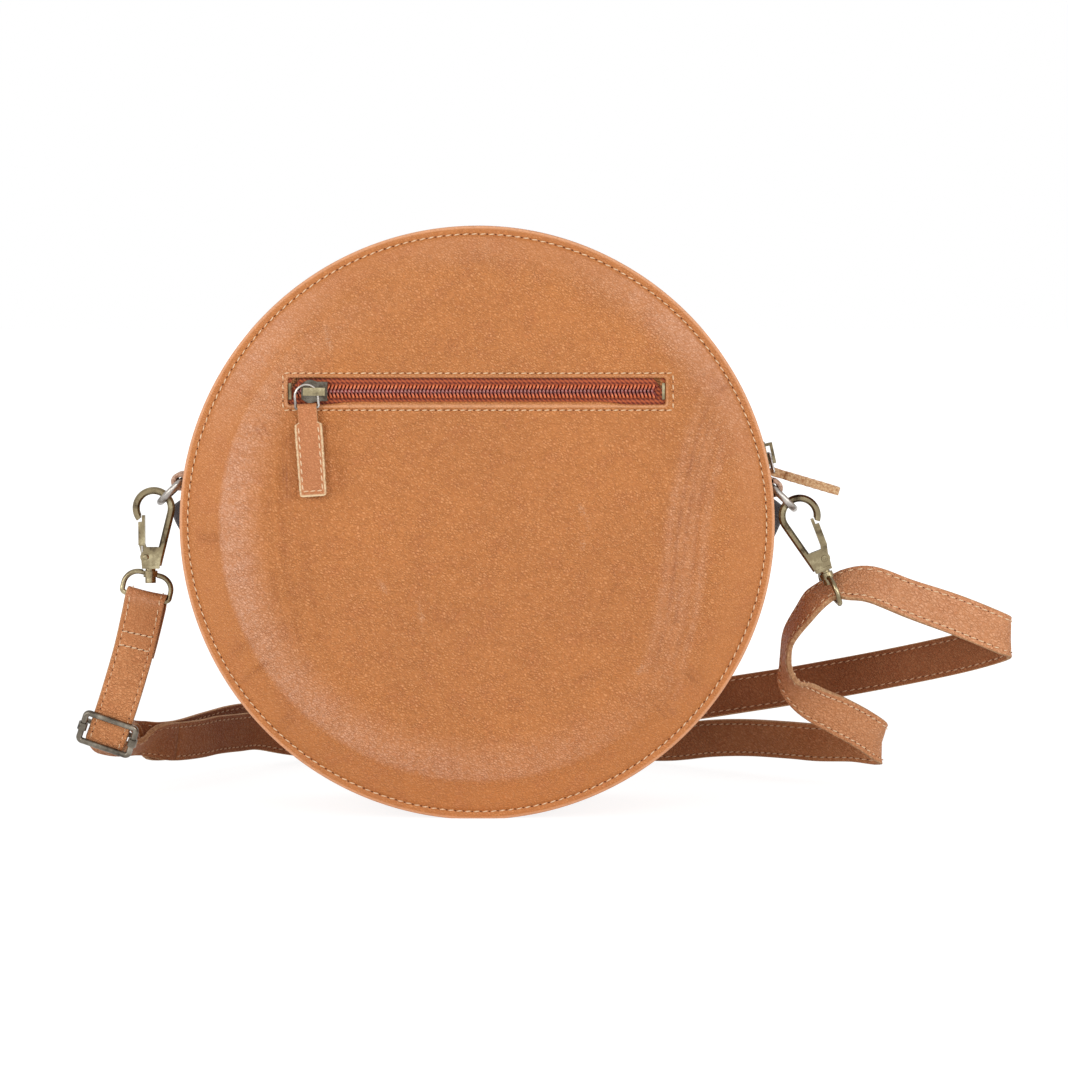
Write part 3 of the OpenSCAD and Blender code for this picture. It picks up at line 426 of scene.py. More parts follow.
def strap_section(half, thick):
    """Outline of the strap's section, (across, through): faces a little puffed between the two
    seams, dipped under them, rounded at the edges, with the groove where the plies meet."""
    share = np.array([-0.955, -0.89, -0.82, -seam_at, -0.69, -0.55, -0.25])
    share = np.concatenate([share, -share[::-1]])
    s = half * share
    face = thick / 2 * (1 - seam_dip * bell(np.abs(share) - seam_at, 0.06) - 0.06 * share ** 4)
    edge = [(0.992, 0.62), (1.0, 0.3), (0.975, 0.0), (1.0, -0.3), (0.992, -0.62)]
    right = np.array(edge) * [half, thick / 2]
    return np.concatenate([np.stack([s, face], 1), right, np.stack([s[::-1], -face[::-1]], 1),
                           right[::-1] * [-1, 1]])


def ribbon(name, p, w, n, half, thick, **marks):
    """A strip: the section above carried along the points p, across w and through n, its edges
    raw. A mark is an attribute with one value for each point."""
    section = strap_section(half, thick)
    P = p[:, None] + section[None, :, :1] * w[:, None] + section[None, :, 1:] * n[:, None]
    rows, columns = P.shape[:2]
    faces = quads(rows, columns, False, True)
    column = np.arange(len(faces)) % columns
    edge = ((column >= 13) & (column < 19)) | (column >= 32)
    ends = [range(columns), range(rows * columns - 1, (rows - 1) * columns - 1, -1)]
    piece = make(name, P, [*faces, *ends], [strap_tan, raw_edge], [*edge, 1, 1])
    for label, value in marks.items():
        mark(piece, label, np.repeat(value, columns))
    return outwards(piece)


left_blend = ("bag", "left_swivel", (-0.150, 0.004, 0.036), (-0.142, 0, 0.088))
right_blend = ("bag", "right_swivel", (0.150, 0, 0.062), (0.150, 0, 0.092))


def strap_painted_shade(u):
    """How much painted shade the strap takes at the shares u, from 0 to 1, where it lies in the dark."""
    return np.interp(u, [8, 12, 14, 20, 24, 26, 28, 29.5, 40, 45, 48, 51, 58, 65],
                     [0, 0.4, 0.62, 0.55, 0.62, 0.64, 0.55, 0, 0, 0, 0.2, 0.4, 0.62, 0.5])


face_names, edge_names = {1: "face", -1: "back"}, {-1: "left", 1: "right"}


def strap_seams(name, u0, u1, blend, faces=(1, -1), sink=0.06 * mm):
    """Both seams of a stretch, on the faces asked for, one stitch each 3.6 mm."""
    u, _ = even_steps(u0, u1, 3.6 * mm, 2 * mm)
    p, d, w, n = strap_frame(u)
    for face in faces:
        for edge in (-1, 1):
            places = p + w * (edge * strap_w / 2 * seam_at) + n * (face * strap_t / 2 * (1 - seam_dip))
            sew(f"{name}_seam_{face_names[face]}_{edge_names[edge]}", places, d, n * face, blend,
                deep=strap_painted_shade(u), sink=sink)


# the long stretch first: it is the free strap
u, long_length = even_steps(12, 65, 2.4 * mm)
p, _, w, n = strap_frame(u)
# The strap takes painted shade where it lies in the dark behind the bag, and wear with painted sheen on the
# near layer at the right.
long_strap = ribbon("strap_long", p, w, n, strap_w / 2, strap_t, deep=strap_painted_shade(u),
                    wear=np.interp(u, [28, 30, 32, 35, 38, 42, 45, 47], [0, 0.6, 0.7, 0.4, 0.5, 0.3, 0.4, 0]))
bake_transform(long_strap)
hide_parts("strap_left_run", "strap_right_upper", "strap_right_lower", "strap_tail")
strap_seams("strap_long", 12, 64.6, right_blend)

# past the adjuster the short piece turns back at once, close under the bottom bar
route[6:10, :3] = np.array([(-159.8, 12.3, 25.3), (-159.9, 15.2, 23.3), (-159.5, 21.5, 22.8),
                            (-157.3, 30, 20.6)]) * mm
route[6:10, 3:] = [(96, 0, -28), (96, 2, -22), (97, 4, -12), (92, -16, 20)]
u, _ = even_steps(0, 12, 2.0 * mm)
p, _, w, n = strap_frame(u)
# Painted shade on the short piece where it turns back under the adjuster.
short_strap = ribbon("strap_short_stretch", p, w, n, strap_w / 2, strap_t,
                     smooth=np.interp(u, [1.5, 2.1], [1, 0]), deep=np.interp(u, [8, 10, 12], [0, 0.4, 0.5]))
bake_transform(short_strap)
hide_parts("strap_short")
strap_seams("strap_short", 0.75, 11.9, left_blend, faces=(1,), sink=0.35 * mm)
strap_seams("strap_short_rear", 2.3, 11.9, left_blend, faces=(-1,))

# its end is skived to half its thickness, taken round the ring's bar and sewn down behind with two
# rows across; the path is the front face, an arc round the bar and the back face
_, d0, w0, n0 = (v[0] for v in strap_frame([0.0]))
bar, bar_w = np.array([-140.9, -0.3, 88.8]) * mm, unit(np.array([0.96, 0.12, -0.24]))
bar_w = bar_w * np.sign(bar_w @ w0)
up = square_to(-d0, bar_w)
face_out = np.cross(bar_w, up) * np.sign(np.cross(bar_w, up) @ n0)
loop_r, behind, east = 2.05 * mm, 1.88 * mm, 1.2 * mm * np.sign(w0[0])
turn = np.radians(np.linspace(0, 184, 25))[:, None]
arc = bar + loop_r * (np.cos(turn) * face_out + np.sin(turn) * up) + bar_w * east * turn / np.pi
uf, ub = np.linspace(0.95, 0.16, 14), np.linspace(0.3, 2.15, 28)
pf, _, wf, nf = strap_frame(uf)
pb, _, wb, nb = strap_frame(ub)
pf = pf + nf * np.interp(uf, [0.16, 0.5, 0.95], [1.25, 0.95, 0.4])[:, None] * mm
pb = pb - nb * behind + wb * east * np.linspace(1, 0.5, 28)[:, None]
path = np.concatenate([np.concatenate([pf, arc, pb]), np.concatenate([wf, np.tile(bar_w, (25, 1)), wb])], 1)
run = run_along(path[:, :3])
way = np.arange(0, run[-1], 0.4 * mm)
loop = np.stack([np.interp(way, run, column) for column in path.T], 1)
for _ in range(3):
    loop[1:-1] = (loop[:-2] + 2 * loop[1:-1] + loop[2:]) / 4
lp = loop[:, :3]
ld = unit(np.gradient(lp, axis=0))
lw = square_to(loop[:, 3:], ld)
ln = np.cross(ld, lw)
# Wear with painted sheen where the loop bends round the bar, and painted shade on its part behind.
end_loop = ribbon("strap_end_loop", lp, lw, ln, strap_w / 2 - 0.1 * mm, end_ply, smooth=np.ones(len(lp)),
                  deep=np.interp(way / mm, [12, 15], [0, 0.5]), wear=0.6 * bell(way - 9.5 * mm, 2 * mm))
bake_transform(end_loop)
across = np.linspace(-5.4, 5.4, 5)[:, None] * mm
for row, share in enumerate((1.42, 1.9)):
    p, _, w, n = strap_frame([share])
    for face, lift in ((1, strap_t / 2), (-1, strap_t / 2 + end_ply)):
        sew(f"strap_cross_{row}_{face_names[face]}", p + w * across + n * face * lift,
            np.tile(w, (5, 1)), np.tile(n * face, (5, 1)), left_blend, 2.6 * mm, 0.7 * mm, 14)
pick = np.interp(np.arange(2.2 * mm, way[-1] - 1 * mm, 3.5 * mm), way, np.arange(len(way)))
pick = pick.round().astype(int)
outer = (ln * np.sign(ln[(way < 9 * mm).sum()] @ up))[pick]
for edge in (-1, 1):
    sew(f"strap_loop_seam_{edge_names[edge]}", lp[pick] + lw[pick] * edge * 6.35 * mm + outer * 0.55 * mm,
        ld[pick], outer, left_blend, 2.4 * mm, 0.6 * mm)

# PANELS
# Front and back are one disc of leather each, 245 mm across, turned out into a 3.5 mm flange at
# the rim and sewn through it to the gusset. A board behind the leather makes the flat middle. The
# front has the pocket slot; its edges are turned in and sewn round, and use has creased it.
bag_r, seam_r, rim_h, middle_z = 122.5 * mm, 119 * mm, 37.4 * mm, 122 * mm
shoulder_w, shoulder_rise, crown, rounding = 26 * mm, 10.6 * mm, 8 * mm, 3 * mm
leather, groove, groove_w, swell_h = 1.4 * mm, 0.42 * mm, 0.75 * mm, 0.3 * mm
slot_z, slot_half, slot_rise, slot_round = 177 * mm, 77 * mm, 5.4 * mm, 0.8 * mm


def ease(x, low, high):
    """0 below low, 1 above high, smooth between them; low may be the larger."""
    t = np.clip((x - low) / (high - low), 0, 1)
    return t * t * (3 - 2 * t)


def from_line(x, z, points):
    """Distance to the left or right of a line of points, and the share along it, for each place."""
    points = np.asarray(points, float) * mm
    near, share = np.full(x.shape, 1.0), np.zeros(x.shape)
    for k, (a, b) in enumerate(zip(points[:-1], points[1:])):
        d = b - a
        t = np.clip(((x - a[0]) * d[0] + (z - a[1]) * d[1]) / (d @ d), 0, 1)
        px, pz = x - a[0] - t * d[0], z - a[1] - t * d[1]
        gap = np.hypot(px, pz)
        closer = gap < np.abs(near)
        near = np.where(closer, gap * np.where(d[0] * pz - d[1] * px < 0, -1, 1), near)
        share = np.where(closer, (k + t) / (len(points) - 1), share)
    return near, share


# creases: points in mm (x, z), depth and width in mm, and sideways shifts of their fellows
creases = [
    ([(99, 180), (94.3, 169.6), (89.8, 157.3), (87, 145), (84, 132.7), (82, 116.3), (80.5, 100),
      (78, 83.6), (74.8, 71.3), (72.7, 59), (69, 45)], 0.34, 0.9, (0, 3.4, 7.6)),
    ([(101, 172), (96, 158), (93, 140), (91, 120), (88, 98), (85, 84)], 0.3, 1.3, (0,)),
    ([(-92, 165), (-88.5, 159), (-86, 153)], 0.4, 0.9, (0, 3)),
    ([(-79, 152), (-80, 128), (-78, 102), (-73, 76), (-66, 52)], 0.5, 1.9, (0, -5.5)),
    ([(-68, 138), (-70, 117), (-68, 95), (-62, 68)], 0.28, 2.4, (0,)),
    ([(-84.6, 67), (-96.7, 57.2)], 0.5, 0.8, (0,)), ([(-91, 76), (-103, 68)], 0.3, 0.8, (0, 2.4)),
    ([(-116, 116), (-103, 115.4)], 0.3, 0.5, (0, 2.2)), ([(-76, 46), (-84, 36)], 0.35, 0.9, (0, 3)),
    ([(-99, 178), (-86, 173)], 0.3, 1.4, (0,)), ([(98, 176), (108, 183)], 0.4, 1.1, (0, 3.4)),
    ([(96, 184), (101, 192)], 0.35, 1.1, (0,)), ([(71, 51), (79, 41)], 0.4, 1.0, (0, 3.2)),
    ([(62, 44), (68, 35)], 0.3, 1.0, (0,)), ([(84, 62), (93, 55)], 0.35, 1.0, (0, 3)),
    ([(-62, 206), (-59, 194)], 0.25, 0.8, (0,))]
scuffs = [[(-62, 205), (-59.5, 193)], [(42, 131), (46, 120)], [(44, 118), (43, 112)], [(-25, 92), (-20, 75)],
          [(62, 57), (70, 66)], [(-40, 100), (-37, 94)]]


def crease_lines(x, z):
    """For each crease and each of its fellows, a quarter shallower each: the distance across it in
    mm, its strength, which fades at both ends, its depth and width, and whether it is a long one."""
    for points, depth, width, shifts in creases:
        gap, share = from_line(x, z, points)
        ends = np.clip(np.sin(np.pi * share), 0, 1) ** 0.6
        for number, shift in enumerate(shifts):
            yield gap / mm - shift, ends, depth * 0.75 ** number, width, len(points) > 8


def used(x, z):
    """Height that use adds to the front: long waves, the dents beside the pull tab, then for each
    crease a groove, a bell curve across it, with a soft roll at either side. What stands proud is
    laid down where the slider's pull reaches."""
    lift = (0.16 * np.sin(x / (19 * mm) + 1.1) * np.sin(z / (27 * mm) + 0.4)
            + 0.1 * np.sin(x / (9 * mm) - z / (14 * mm)))
    lift -= 0.9 * bell(x + 57 * mm, 3.6 * mm) * bell(z - 148 * mm, 15 * mm)
    lift -= 0.6 * bell(x + 79 * mm, 3 * mm) * bell(z - 143 * mm, 11 * mm)
    for gap, ends, depth, width, _ in crease_lines(x, z):
        lift -= depth * ends * (bell(gap, width) - 0.45 * bell(np.abs(gap) - 2.1 * width, width))
    return (lift - np.maximum(lift, 0) * bell(x / mm - 70, 16)) * mm


def panel_height(x, z, front):
    """Height of the disc over its rim: a slope up from the seam that rounds over into the flat
    middle, the groove the seam pulls in, a slow swell, and on the front what use has done."""
    r = np.hypot(x, z - middle_z)
    slope = np.clip((seam_r - r) / shoulder_w, 0, 9) * shoulder_rise
    near = np.maximum(rounding - np.abs(slope - crown), 0) / rounding
    h = np.minimum(slope, crown) - near ** 2 * rounding / 4 - groove * bell(r - seam_r, groove_w)
    swell = np.sin(3 * np.arctan2(z - middle_z, x) + (2.4 if front else 1.9)) * ease(r, 60 * mm, 100 * mm)
    h = h + swell_h * (swell - 1) * ease(r, 118 * mm, 108 * mm)
    return h + used(x, z) * ease(r, 120 * mm, 112 * mm) if front else h


def fit(piece, body, node):
    """The piece rides on the body, and the node whose place it takes is hidden."""
    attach(piece, body)
    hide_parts(node)


def panel(name, front, node):
    """A closed ring-shaped sheet. Columns go round the disc; rows start under the turned edge of
    the slot, or at the middle of the back, go over the face and the flange and come back below."""
    columns = 560 if front else 300
    a = np.linspace(0, 2 * np.pi, columns, endpoint=False)
    circle, middle, slot = np.stack([np.cos(a), np.sin(a)], 1), np.array([0, middle_z]), np.array([0, slot_z])
    last_r = 117.4 * mm
    if front:
        core = np.array([slot_half - slot_round, slot_rise - slot_round])
        outer = middle + last_r * circle
        centre = np.clip(outer - slot, -core, core) + slot
        ray, length = unit(outer - centre), np.linalg.norm(outer - centre, axis=1) - slot_round
        centre = centre + ray * slot_round
        lip, steps = [(0.4, -1.4), (0.08, -1.1), (0, -0.7), (0.08, -0.32), (0.3, -0.08), (0.7, 0), (1.1, 0),
                      (1.5, 0), (1.9, 0), (2.3, 0), (2.8, 0), (3.6, 0), (4.8, 0), (6.2, 0)], 138
    else:
        centre, ray, length = np.tile(middle, (columns, 1)), circle, np.full(columns, last_r)
        lip, steps = [(0, 0)], 90
    lip = np.array(lip) * mm
    share = np.linspace(0, 1, steps + 1)[1:, None]
    reach = np.concatenate([lip[:, :1] * np.ones(columns), lip[-1, 0] + share * (length - lip[-1, 0])])
    rim = np.array([(117.9, 0), (118.3, 0), (118.7, 0), (119.0, 0), (119.3, 0), (119.7, 0.02), (120.3, 0.1),
                    (121.1, 0.12), (121.8, 0.02), (122.25, -0.2), (122.5, -0.6), (122.5, -0.95),
                    (122.2, -1.3), (121.4, -1.4), (118.6, -1.4), (113, -1.4), (107, -1.4), (100, -1.4),
                    (94, -1.4)]) * mm
    under = np.array([0.9, 0.75, 0.55, 0.35, 0.15])[:, None, None]
    places = np.concatenate([centre + ray * reach[..., None], middle + rim[:, :1, None] * circle,
                             centre + ray * 0.84 * length[:, None] * under])
    drop = np.concatenate([lip[:, 1], np.zeros(steps), rim[:, 1], np.full(5, -leather)])[:, None]
    x, z = places[..., 0], places[..., 1]
    h = rim_h + panel_height(x, z, front) + drop
    if front:
        beside = reach / mm
        h[:len(reach)] += mm * (0.4 * bell(beside - 1.0, 0.75) - 0.16 * bell(beside - 2.0, 0.4))
        below = ease(slot_z - centre[:, 1] - ray[:, 1] * mm, 3.0 * mm, 5.0 * mm)
        lean = 1.25 * mm * below * ease(np.abs(centre[:, 0]), 64 * mm, 50 * mm)
        z[:6] += lean * np.array([1.0, 1.0, 0.85, 0.6, 0.35, 0.1])[:, None]
    P = np.stack([x, -h if front else h, np.maximum(z, 0)], -1)
    if not front:
        P[-1] = [0, rim_h + crown - leather, middle_z]
    piece = make(name, P, quads(len(P), columns, front, True), [tan])
    r, phi = np.hypot(x, z - middle_z), np.arctan2(z - middle_z, x)

    def lobe(angle, spread):
        """1 towards the angle, fading round the disc to either side, in radians."""
        return bell((phi - angle + np.pi) % (2 * np.pi) - np.pi, spread)

    # Wear with painted sheen on the shoulder's bend, strongest at the left, the bottom and the right; the
    # glossy lobes paint sheen on the verge by the seam at the upper arcs.
    bend = ease(r, 107 * mm, 104 * mm) * ease(r, 84 * mm, 101 * mm)
    verge = ease(r, 118.8 * mm, 117.2 * mm) * ease(r, 101 * mm, 114 * mm)
    wear = bend * np.clip(lobe(3.1, 0.75) + 0.45 * lobe(-2.3, 0.5) + 0.55 * lobe(-1.5, 0.6), 0, 1)
    glossy = np.clip(lobe(2.45, 0.3) + lobe(0.75, 0.42) + 0.4 * lobe(1.6, 0.3), 0, 1)
    wear = np.maximum(wear, 0.8 * verge * glossy)
    edge_r = (114 - 10 * lobe(3.1, 0.8) - 9 * lobe(-0.2, 0.6) - 7 * lobe(-1.5, 0.8)) * mm
    smooth = ease(r, edge_r - 7 * mm, edge_r + 5 * mm)
    pale = ease(r, 121.1 * mm, 121.8 * mm)
    fold, scuff = np.zeros(x.shape), np.zeros(x.shape)
    if front:
        east, north = x / mm, (z - middle_z) / mm
        # Painted shade: dark streaks beside the pocket pull tab and along each crease.
        fold = 0.9 * (bell(east + 78.3, 2.4) * bell(north - 22, 13)
                      + 0.7 * bell(east + 63.6, 1.8) * bell(north - 27, 12))
        fold = fold * (0.65 + 0.35 * np.sin(east * 4.1 + 0.4 * np.sin(north * 0.8)))
        for gap, ends, depth, width, long in crease_lines(x, z):
            sharp = 1.5 if width < 1.2 else 0.55
            fold = np.maximum(fold, sharp * depth * ends * bell(gap, 0.75 * width))
            # Wear with painted sheen on the roll beside each long crease.
            if long:
                wear = np.maximum(wear, 0.45 * ends * bell(np.abs(gap) - 3.2, 2.2))
        for line in scuffs:
            gap, share = from_line(x, z, line)
            scuff = np.maximum(scuff, bell(gap, 1.0 * mm) * np.sin(np.pi * share) ** 0.5)
        # Painted highlight: the crest of the slot's turned edge takes the pale colour, strongest on the lower
        # lip, which faces up.
        crest_highlight = bell(beside - 0.8, 0.4) * (0.4 + 0.6 * below)
        pale[:len(reach)] = np.maximum(pale[:len(reach)], crest_highlight)
    for label, value in (("wear", wear), ("smooth", smooth), ("scuff", scuff), ("pale", pale),
                         ("fold", fold)):
        mark(piece, label, value)
    polar = np.stack([33 * np.cos(phi), 33 * np.sin(phi), r / (18 * mm)], -1).ravel().astype(np.float32)
    piece.data.attributes.new("polar", "FLOAT_VECTOR", "POINT").data.foreach_set("vector", polar)
    outwards(piece, 1e-6)
    fit(piece, "bag", node)


panel("front_panel", True, "pocket_panel")
panel("back_panel", False, "plain_panel")


def on_panel(x, z, front):
    """Places on the face of a disc, and the way out of it there."""
    step = 0.3 * mm
    h = panel_height(x, z, front)
    slope_x = (panel_height(x + step, z, front) - panel_height(x - step, z, front)) / (2 * step)
    slope_z = (panel_height(x, z + step, front) - panel_height(x, z - step, front)) / (2 * step)
    s = -1 if front else 1
    out = np.stack([-slope_x, s * np.ones_like(x), -slope_z], -1)
    return np.stack([x, s * (rim_h + h), z], -1), unit(out)


def wheel(r, y, a):
    """Places at radius r and depth y, turned by the angle a round the middle of the bag."""
    return np.stack(np.broadcast_arrays(r * np.cos(a), y, middle_z + r * np.sin(a)), -1)


def outward(a):
    """The way out from the middle of the bag at the angle a."""
    return np.stack([np.cos(a), 0 * a, np.sin(a)], -1)


def onward(a):
    """The way round the bag at the angle a."""
    return np.stack([-np.sin(a), 0 * a, np.cos(a)], -1)


stitch_r = 119.1 * mm
a = np.arange(0, 2 * np.pi, 3.55 * mm / stitch_r)
for front, side, s in ((True, "front", -1.0), (False, "back", 1.0)):
    places, _ = on_panel(stitch_r * np.cos(a), middle_z + stitch_r * np.sin(a), front)
    out = np.tile([0, s, 0], (len(a), 1))
    sew(f"rim_seam_{side}", places + out * 0.12 * mm, onward(a), out, "bag", 2.4 * mm, 0.58 * mm)
corners = np.array([(-79.1, 169.3), (80.2, 169.3), (80.2, 184.4), (-79.1, 184.4)]) * mm
for number, (start, end) in enumerate(zip(corners, np.roll(corners, -1, 0))):
    count = max(3, int(np.linalg.norm(end - start) / (3.1 * mm)))
    line = start + (end - start) * ((np.arange(count) + 0.5) / count)[:, None]
    places, out = on_panel(line[:, 0], line[:, 1], True)
    along = np.tile([end[0] - start[0], 0, end[1] - start[1]], (count, 1))
    sew(f"slot_seam_{number}", places, along, out, "bag", 2.2 * mm, 0.55 * mm, slant=7)

# GUSSET
# A band of the same leather round the rim, 70 mm wide and a little barrelled: one length under
# the bag, its ends pushed out below the D rings and darkened there with painted shade, and two
# strips beside the zip over the top.
web_half, web_rise, seam_inset = 34.6 * mm, 3.5 * mm, 7.6 * mm


def web_out(y):
    """Radius of the band: the seam's at its edges, 3.5 mm more in the middle, a parabola."""
    return seam_r + web_rise * (1 - (y / web_half) ** 2)


def band(name, node, a0, a1, profile, push=()):
    """The profile (radius, y) turned from angle a0 to a1 round the middle of the bag, with soft
    ripples that grow along the middle of the band, and bells that push the rear half out: angle,
    width in degrees before and after it, mm. Where they push out, the rear half takes painted
    shade, nearly black."""
    a = np.radians(np.linspace(a0, a1, max(24, int(abs(a1 - a0) * 1.5))))
    r, y = profile[:, 0], profile[:, 1]
    middle = np.clip(1 - (y / web_half) ** 2, 0, 1)
    grow = 0.32 * mm * np.sin(a * 23)[:, None] * np.sin(a * 9 + 1)[:, None] * middle
    degrees, deep = np.degrees(a), 0
    for centre, before, after, far in push:
        bulge = bell(degrees - centre, np.where(degrees < centre, before, after))[:, None]
        grow = grow + far * mm * bulge * middle ** 0.8 * (0.1 + 0.9 * ease(y, seam_inset, 17 * mm))
        deep = deep + bulge
    P = wheel(r + grow, y, a[:, None])
    P[..., 2] = np.maximum(P[..., 2], 0)
    half = len(a) // 2
    if normals(P)[half, len(y) // 2] @ outward(a[half]) < 0:
        P = P[:, ::-1]
    piece = hide(name, P, leather, [tan, soft_edge])
    if push:
        # Painted shade, nearly black, on the rear half where the ends push out.
        rear = ease(P[..., 1], -6 * mm, 14 * mm) * ease(P[..., 1], 35 * mm, 24 * mm)
        mark(piece, "deep", np.tile(np.clip(1.8 * deep * rear, 0, 1).ravel(), 2))
    fit(piece, "bag", node)


y = np.linspace(-33.8, 33.8, 45) * mm
barrel = np.stack([web_out(y), y], 1)
flange = np.array([(122.4, 34.72), (121.4, 34.62), (120.2, 34.6), (119.5, 34.55), (119.15, 34.3)]) * mm
band("gusset_band", "base_gusset", 170.5, 369.5, np.concatenate([flange * [1, -1], barrel, flange[::-1]]),
     push=((178.6, 2.4, 6.0, 11.5), (361.2, 7.0, 2.4, 10.0)))
y = np.linspace(5.5, 33.8, 22) * mm
strip = np.concatenate([np.stack([web_out(y), y], 1), flange[::-1]])
a = np.arange(np.radians(10.2), np.radians(169.8), 3.4 / 121.8)
for sign, label in ((-1, "front"), (1, "back")):
    band(f"zip_strip_{label}", f"zip_gusset_{label}", 9.5, 170.5, strip * [1, sign])
    sew(f"zip_strip_seam_{label}", wheel(web_out(seam_inset), sign * seam_inset, a), onward(a), outward(a),
        "bag", 2.3 * mm, 0.55 * mm)

# ZIPS
# Woven polyester tapes, rust coloured, sewn behind the leather, each with a nylon coil 5.2 mm wide
# down its middle, metal end stops and a die-cast slider.


def bands(place, direction, scale, distortion=0.0, detail=2.0):
    """Even waves that run across the direction named."""
    return place.node("TexWave", {"wave_type": "BANDS", "bands_direction": direction},
                      {"Vector": place, "Scale": scale, "Distortion": distortion, "Detail": detail})


def tape_paint():
    """Twill tape: slanting ribs across it and a fine weave, from the tape's own UV in metres."""
    paint, shader, place = new_paint("zip_tape", 0.75)
    uv = place.node("UVMap")
    lay = bands(uv, "DIAGONAL", 330.0, 0.6, 1.0) * 0.6 + bands(uv, "Y", 190.0, 0.2) * 0.55
    feed(shader, lay.between(0.15, 1.0).mix(srgb(112, 40, 18), srgb(188, 92, 50)), "Base Color")
    emboss(shader, lay, 0.8, 0.0003)
    shader.inputs["Sheen Weight"].default_value = 0.15
    return paint


def coil_paint():
    """Nylon: dark red and glossy where the turns mesh, with painted glints in pale pink on the tops
    of the meshing turns, and away from there, by the attribute covered, hidden under the rust
    thread that sews the spiral down."""
    paint, shader, place = new_paint("zip_coil")
    dust = place.noise(700.0).between(0.3, 0.7)
    covered, tip = place.attribute("covered"), place.attribute("tip")
    # Painted glints: the tops of the meshing turns go pale pink.
    bare = tip.mix(dust.mix(srgb(86, 14, 14), srgb(132, 34, 30)), srgb(232, 168, 160))
    feed(shader, covered.mix(bare, dust.mix(srgb(192, 88, 48), srgb(226, 126, 80))), "Base Color")
    feed(shader, 0.22 + covered * 0.4, "Roughness")
    return paint


tape, nylon = tape_paint(), coil_paint()


def zip_tape(name, node, P, u, v):
    """A tape 0.8 mm thick on the grid P, its UV map in metres from the grid's own two lengths, the
    same on the front and the back."""
    piece = hide(name, P, 0.8 * mm, [tape, tape])
    flat = np.stack(np.broadcast_arrays(u, v), -1).reshape(-1, 2)
    order = np.zeros(len(piece.data.loops), np.int32)
    piece.data.loops.foreach_get("vertex_index", order)
    flat = np.concatenate([flat, flat])[order].ravel().astype(np.float32)
    piece.data.uv_layers.new(name="UVMap").data.foreach_set("uv", flat)
    fit(piece, "bag", node)


# main tape: a band 24 mm wide just inside the gusset strips
a, y = np.radians(np.linspace(6.5, 173.5, 240))[:, None], np.linspace(-12, 12, 17) * mm
P = wheel(web_out(y) - leather - 0.1 * mm, y, a)[:, ::-1]
zip_tape("main_tape", "main_zip_tape", P, a * 121 * mm, y[::-1])

# pocket tape: flat, bellied by a fraction of a millimetre
x, z = np.linspace(-78.5, 78.5, 160)[:, None] * mm, np.linspace(-8.5, 8.5, 19) * mm
belly = -43.1 * mm + 0.15 * mm * np.sin(x / (11 * mm)) * (1 - (z / (8.5 * mm)) ** 2)
P = np.stack(np.broadcast_arrays(x, belly, slot_z + z), -1)
zip_tape("pocket_tape", "pocket_zip_tape", P, x, z)


pitch = 1.56 * mm


def coil(name, node, middle, along, up, across, length):
    """Two nylon spirals whose turns mesh along the middle. Each is a wire carried round a
    flattened loop while it moves on: place = middle + along * s + across * w + up * h."""
    t = np.arange(int(length / pitch) * 14) / 14
    turn = 2 * np.pi * t

    def flattened(wave, power):
        """The wave with squarer shoulders: its size to a power below 1, under its own sign."""
        return np.sign(wave) * np.abs(wave) ** power

    points, faces, covered, tips = [], [], [], []
    for sign in (-1, 1):
        w = sign * (1.12 + 1.36 * flattened(np.cos(turn), 0.75)) * mm
        h = (0.9 + 0.66 * flattened(np.sin(turn), 0.85)) * mm
        s = (t + (0.5 if sign > 0 else 0)) * pitch
        s = s * (length - 2.6 * pitch) / s.max() + 0.5 * pitch + 0.6 * np.abs(w)
        covered.append(np.repeat(ease(np.abs(w), 0.6 * mm, 0.95 * mm) * ease(h, 0.4 * mm, 0.8 * mm), 4))
        # Painted glints on the tops of one spiral's turns where they mesh.
        tips.append(np.repeat(ease(np.abs(w), 0.3 * mm, 0.1 * mm) * (h > 1.0 * mm) * (sign > 0), 4))
        centre = middle(s) + across(s) * w[:, None] + up(s) * h[:, None]
        forward = unit(np.gradient(centre, axis=0))
        n1 = square_to(along(s), forward)
        n2 = np.cross(forward, n1)
        k = (np.arange(4) * np.pi / 2 + np.pi / 4)[:, None]
        points.append(centre[:, None] + 0.55 * mm * (np.cos(k) * n1[:, None] + np.sin(k) * n2[:, None]))
        shift, last = (sign > 0) * 4 * len(t), 4 * len(t) - 4
        faces += [*(quads(len(t), 4, False, True) + shift), range(shift + 3, shift - 1, -1),
                  range(shift + last, shift + last + 4)]
    piece = make(name, np.concatenate(points), faces, [nylon])
    mark(piece, "covered", np.concatenate(covered))
    mark(piece, "tip", np.concatenate(tips))
    outwards(piece)
    fit(piece, "bag", node)


def fixed(v):
    """A direction that stays the same all the way along."""
    return lambda s: np.tile(np.asarray(v, float), (len(s), 1))


coil("pocket_coil", "pocket_zip_coil",
     lambda s: np.stack([s - 75.6 * mm, 0 * s - 43.12 * mm, 0 * s + slot_z], 1), fixed((1, 0, 0)),
     fixed((0, -1, 0)), fixed((0, 0, 1)), 151.2 * mm)
start, tape_r = np.radians(10.4), 121.02 * mm
coil("main_coil", "main_zip_coil", lambda s: wheel(tape_r, 0, start + s / tape_r),
     lambda s: onward(start + s / tape_r), lambda s: outward(start + s / tape_r), fixed((0, 1, 0)),
     np.radians(159.2) * tape_r)

